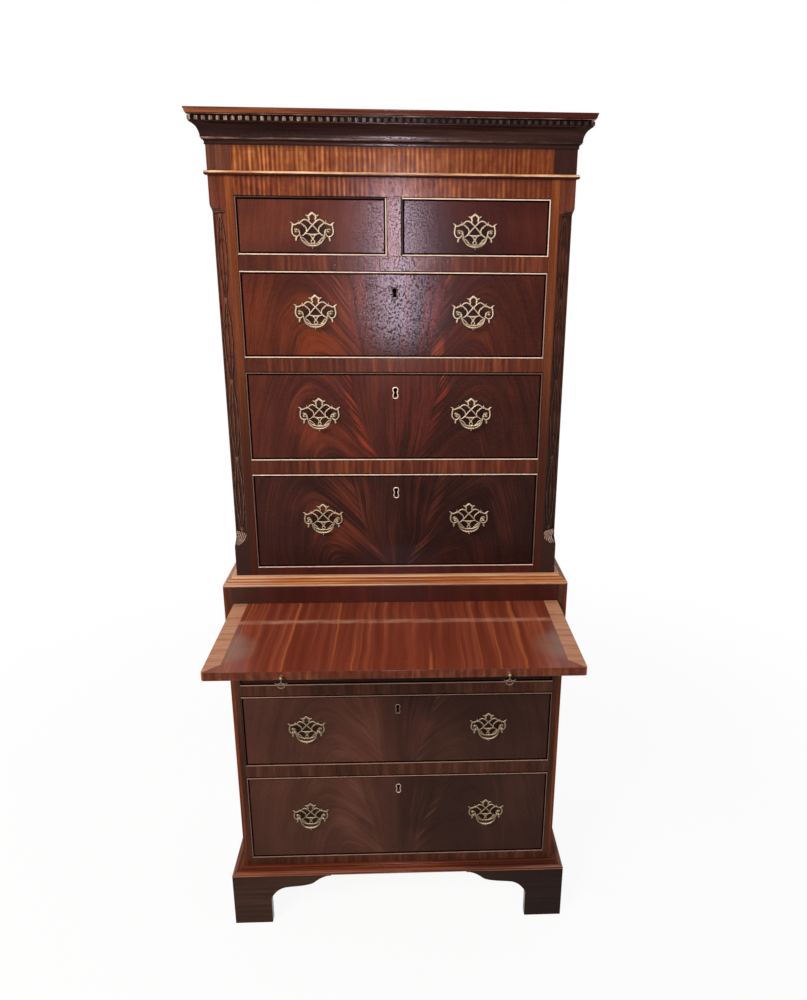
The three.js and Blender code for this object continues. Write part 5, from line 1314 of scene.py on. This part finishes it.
# the front corners are rounded in plan, and each mitre starts in the middle of its round
arc = np.radians(np.linspace(-90, 0, 9))
rounded = np.column_stack([half - slide["round"] + slide["round"] * np.cos(arc),
                           frontY + slide["round"] + slide["round"] * np.sin(arc)])
lipRight = rounded[:5] + (0, 0.3)
lipLoop = np.concatenate([lipRight[::-1] * (-1, 1), lipRight, [(half - clamp, frontY + clamp),
                                                             (-half + clamp, frontY + clamp)]])
lip = slab(lipLoop, slide["low"], thick, "z", 0.3, "y", 150.0)
facing = board((-half + slide["round"], frontY, slide["low"] + 0.1), (half - slide["round"], frontY + 1.0,
               slide["high"] - 0.1), "z", 0.3, seed=152.0, skin=2)
clampRight = slab(np.concatenate([rounded[4:], [(half, backY), (half - clamp, backY), (half - clamp, frontY + clamp)]]),
                  slide["low"], thick, "z", 0.3, "x", 151.0, skin=1)
makePiece("slide_board", [panel, lip, facing] + bothSides([clampRight]), [slideWood, clampWood, slideEdgeWood],
          "slide", ["brushing_slide"])
neck = [(2.6, 0.6), (2.9, -0.4), (2.4, -1.2), (1.7, -1.9), (1.7, -6.2)]
posts = [turned(neck, (s * slide["pull"], slide["front"], slide["level"]), "y", 20) for s in (-1, 1)]
makePiece("slide_pull_posts", posts, brass, "slide", smooth=50)


def slideDrop():
    # A round knuckle that turns on the post, a stem, two upturned wings and a crescent below them.
    solids = [strand([(0, -2.2), (0.0, -6.0), (0, -9.6)], [2.6, 2.0, 3.2], 2.2, -1.1, count=12)]
    solids.append(turned([(slide["ball"] * math.cos(t), slide["ball"] * math.sin(t))
                          for t in np.linspace(-1.45, 1.45, 11)], (0, 0, 0), "x", 20))
    for side in (-1, 1):
        solids.append(strand([(0, -9.6), (side * 4.0, -11.6), (side * 8.4, -12.0), (side * 11.0, -10.0)],
                             [3.0, 2.6, 2.2, 1.3], 2.2, -1.1, count=18))
        solids.append(strand([(side * 7.2, -12.2), (side * 6.8, -16.0), (side * 4.2, -19.4), (0, -20.6)],
                             [1.8, 2.2, 2.6, 3.0], 2.2, -1.1, count=18))
    return solids


for side, word in pair:
    centre = (side * slide["pull"], slide["front"] - slide["reach"], slide["level"])
    drop = [moved(solid, centre) for solid in slideDrop()]
    makePiece(f"slide_drop_{word}", drop, brass, f"slide_bail_{word}", [f"slide_bail_{word}"], smooth=50)
print("slide made")

# ---- floor, light and camera

scene = bpy.context.scene
scene.view_settings.view_transform = "Standard"


def shownWhite(finish):
    # To the camera, to reflections and to glass this is nearly white. To all other light it is as written.
    path = finish.tree.nodes.new("ShaderNodeLightPath")
    ways = [Wire(finish, path.outputs[word]) for word in ("Is Camera Ray", "Is Glossy Ray", "Is Transmission Ray")]
    return ways[0].maths("MAXIMUM", ways[0].maths("MAXIMUM", ways[0], ways[1]), ways[2])


stage = {"half": 14.0, "floor": (246, 245, 244), "white": 0.92, "ambient": 0.5}
corners = np.array([(-1, -1), (1, -1), (1, 1), (-1, 1)], float) * stage["half"]
ground = bpy.data.meshes.new("floor")
ground.from_pydata(np.column_stack([corners, np.full(4, -0.0005)]).tolist(), [], [(0, 1, 2, 3)])
floor = bpy.data.objects.new("floor", ground)
scene.collection.objects.link(floor)
floorFinish = Finish("pale_floor", **{"Roughness": 0.9, "Specular IOR Level": 0.0})
floorFinish.set("Base Color", tint(*stage["floor"]))
white = floorFinish.node("ShaderNodeEmission", {}, {"Color": (1, 1, 1, 1), "Strength": 1.0})
x, y, z = floorFinish.parts(floorFinish.objectPlace())
far = ((x * x + y * y) ** 0.5).step(0.9, 2.6, stage["white"], 1.0)  # the shadow's share ends away from the chest
share = shownWhite(floorFinish) * far
blend = floorFinish.node("ShaderNodeMixShader", {}, [share, Wire(floorFinish, floorFinish.shader.outputs[0]), white])
floorFinish.tree.links.new(blend.socket, floorFinish.tree.nodes["Material Output"].inputs["Surface"])
ground.materials.append(floorFinish.material)

world = bpy.data.worlds.new("room")
scene.world = world
world.use_nodes = True
room = Finish.__new__(Finish)
room.tree, room.shader = world.node_tree, world.node_tree.nodes["Background"]
room.shader.inputs["Color"].default_value = (1, 1, 1, 1)
room.set("Strength", shownWhite(room) * (1 - stage["ambient"]) + stage["ambient"])


def lamp(name, look):
    light = bpy.data.lights.new(name, "AREA")
    light.shape = "RECTANGLE"
    (light.size, light.size_y), light.energy, light.color = look["size"], look["power"], look["colour"]
    made = bpy.data.objects.new(name, light)
    made.location = look["centre"]
    made.rotation_mode = "QUATERNION"
    made.rotation_quaternion = (Vector(look["target"]) - made.location).to_track_quat("-Z", "Y")
    scene.collection.objects.link(made)
    return made


lamp("key", {"centre": (-2.6, -3.2, 3.6), "target": (0, 0, 0.9), "size": (2.0, 1.6), "power": 188,
             "colour": (1.0, 0.98, 0.95)})
# a narrow upright lamp behind the camera: its reflection is the pale streak down the upper drawers
streak = {"centre": (-0.018, -3.25, 1.57), "target": (-0.018, 0, 1.57), "size": (0.16, 0.87), "power": 106,
          "colour": (0.86, 0.78, 1.0)}
lamp("streak", streak).visible_diffuse = False

# The camera as the photograph was taken: just above the waist of the upper chest, looking down a little.
sight = {"yaw": 0.0455, "pitch": 0.3015, "roll": 0.0083, "place": (0.0149, -1.65154, 1.5872), "focal": 774.15,
         "middle": (436.81, 403.5), "tall": 1000, "sensor": 36.0}
yaw, pitch, roll = sight["yaw"], sight["pitch"], sight["roll"]
ahead = Vector((math.sin(yaw) * math.cos(pitch), math.cos(yaw) * math.cos(pitch), -math.sin(pitch)))
aside = Vector((math.cos(yaw), -math.sin(yaw), 0))
upright = aside.cross(ahead)
right = aside * math.cos(roll) + upright * math.sin(roll)
up = upright * math.cos(roll) - aside * math.sin(roll)
lens = bpy.data.cameras.new("camera")
lens.sensor_fit = "AUTO"
lens.sensor_width = sight["sensor"]
lens.lens = sight["focal"] * sight["sensor"] / sight["tall"]
lens.shift_x = (sight["middle"][1] - sight["middle"][0]) / sight["tall"]
lens.clip_start, lens.clip_end = 0.05, 60
camera = bpy.data.objects.new("camera", lens)
camera.matrix_world = Matrix((*zip(right, up, -ahead, sight["place"]), (0, 0, 0, 1)))
scene.collection.objects.link(camera)
scene.camera = camera

print("pieces:", pieceCount)
